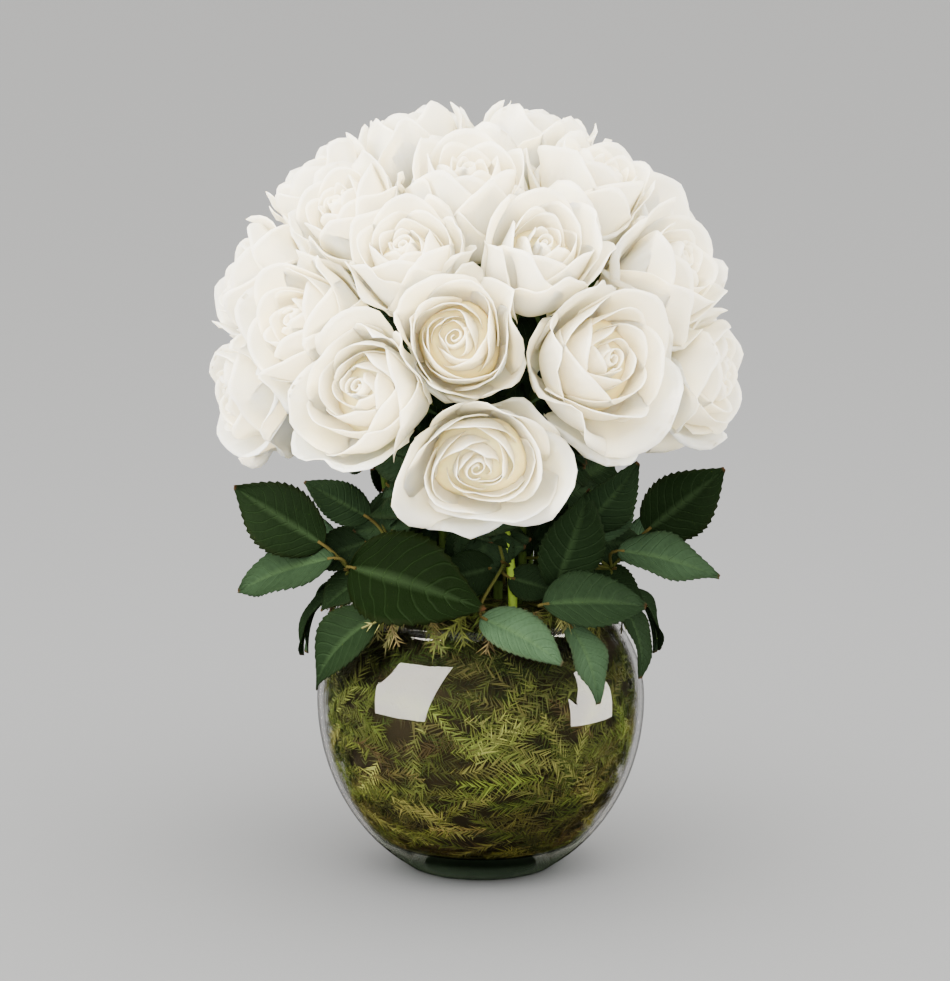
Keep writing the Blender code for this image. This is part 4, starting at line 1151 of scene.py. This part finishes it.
def glass_material(name, coat):
    """Clear glass, greyer where it is looked through along its wall. Its thick foot is nearly opaque."""
    material, tree, shader = nodes_of(name)
    # The UV map keeps the height of each point.
    place = add_node(tree, "ShaderNodeTexCoord", {}).outputs["UV"]
    height = add_node(tree, "ShaderNodeSeparateXYZ", {"Vector": place}).outputs["Y"]
    # Painted shade: the tint greys towards the outline, partly standing in for the view that the wall would
    # bend.
    inputs = {
        "Factor": add_node(tree, "ShaderNodeLayerWeight", {"Blend": 0.35}).outputs["Facing"],
        "A": own_tint(tree),
        "B": (*GLASS_SIDE, 1.0),
    }
    greyed = add_node(tree, "ShaderNodeMix", inputs, data_type="RGBA", blend_type="MULTIPLY")
    set_inputs(tree, shader, {
        "Base Color": greyed.outputs["Result"],
        "Normal": bump(tree, noise(tree, {"Scale": 18.0}), 0.03, 0.001),
        "Roughness": 0.0,
        "IOR": 1.01,
        # The foot is made nearly opaque and dull, so that its painted shade stands in for what it would show
        # through.
        "Alpha": ranged(tree, height, *FOOT_SOLID),
        "Transmission Weight": ranged(tree, height, *FOOT_BODY),
        "Coat Weight": coat,
        "Coat IOR": 1.95,
        "Coat Roughness": 0.01,
    })
    return material


def make_stage():
    """A wide, plain, pale floor, which reaches past the top of the picture."""
    material, tree, shader = nodes_of("backdrop")
    set_inputs(tree, shader, {"Base Color": BACKDROP_COLOUR, "Roughness": 0.85})
    turns = 2 * math.pi * np.arange(FLOOR_SIDES) / FLOOR_SIDES
    points = around(turns, FLOOR_RADIUS, 0 * turns).tolist()
    mesh = bpy.data.meshes.new("backdrop")
    mesh.from_pydata(points, [], [tuple(range(FLOOR_SIDES))])
    mesh.materials.append(material)
    floor = bpy.data.objects.new("backdrop", mesh)
    bpy.context.scene.collection.objects.link(floor)
    floor.visible_glossy = False
    return floor


def aim(obj, target):
    """Turns a light or camera to look at a point."""
    obj.rotation_euler = (Vector(target) - obj.location).to_track_quat("-Z", "Y").to_euler()


def add_light(name, azimuth, elevation, distance, width, height, energy, spared):
    """A soft rectangular light that looks at the flowers, and doesn't fall on the spared objects."""
    lamp = bpy.data.lights.new(name, "AREA")
    lamp.shape = "RECTANGLE"
    lamp.size = width
    lamp.size_y = height
    lamp.energy = energy
    lamp.color = LAMP_COLOUR
    obj = bpy.data.objects.new(name, lamp)
    obj.visible_camera = False
    obj.location = np.array(LAMP_TARGET) + direction(azimuth, elevation) * distance
    bpy.context.scene.collection.objects.link(obj)
    aim(obj, LAMP_TARGET)
    group = bpy.data.collections.new(name + "_spares")
    for k, other in enumerate(spared):
        group.objects.link(other)
        group.collection_objects[k].light_linking.link_state = "EXCLUDE"
    obj.light_linking.receiver_collection = group


def make_lights(floor, glass):
    """A big soft window from the left, a low card from the right, and an even grey sky.

    Only the window and the card mirror in the glass. The floor is lit evenly, by the sky and from above.
    """
    objects = {"floor": floor, "glass": glass}
    for *lamp, spared in LAMPS:
        add_light(*lamp, [objects[name] for name in spared])
    world = bpy.data.worlds.new("studio")
    world.use_nodes = True
    set_inputs(world.node_tree, world.node_tree.nodes["Background"],
               {"Color": SKY_COLOUR, "Strength": SKY_STRENGTH})
    # The sky lights the flowers, but the glass and leaves mirror only the lamps, as in a dark studio.
    world.cycles_visibility.glossy = False
    bpy.context.scene.world = world


def make_camera():
    """The camera where the photograph was taken from: just above the bowl, straight in front."""
    lens = bpy.data.cameras.new("camera")
    lens.lens = LENS
    lens.sensor_width = SENSOR_WIDTH
    camera = bpy.data.objects.new("camera", lens)
    camera.location = np.array(VIEW_TARGET) + direction(0, VIEW_ELEVATION) * VIEW_DISTANCE
    bpy.context.scene.collection.objects.link(camera)
    aim(camera, VIEW_TARGET)
    bpy.context.scene.camera = camera


def settle(piece, slot, *nodes):
    """Makes a piece ride on the model and stand for the nodes named. Its slot is not used."""
    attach(piece, "root")
    if nodes:
        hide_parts(*nodes)


def main():
    """Builds every piece of the model and its stage."""
    roses = make_roses()
    petals, leaves = petal_material(), leaf_material()
    for rose in roses:
        bloom = make_bloom(rose, petals)
        # The bowl mirrors the lamps and leaves, but not the flowers, as in the photograph.
        bloom.visible_glossy = False
        settle(bloom, "petal_white", f"bloom_{rose.index + 1:02d}")
        settle(make_greens(rose, leaves), "rose_green", f"stem_{rose.index + 1:02d}")
    glass = make_glass(glass_material("bowl_glass", 1.0), glass_material("bowl_glass_inside", 0.0))
    settle(glass, "clear_glass", "glass_bowl")
    for piece in make_moss(moss_material("moss_frond", 0.75), moss_material("moss_core", 0.95)):
        settle(piece, "moss", "moss_bed")
    make_lights(make_stage(), glass)
    make_camera()


main()
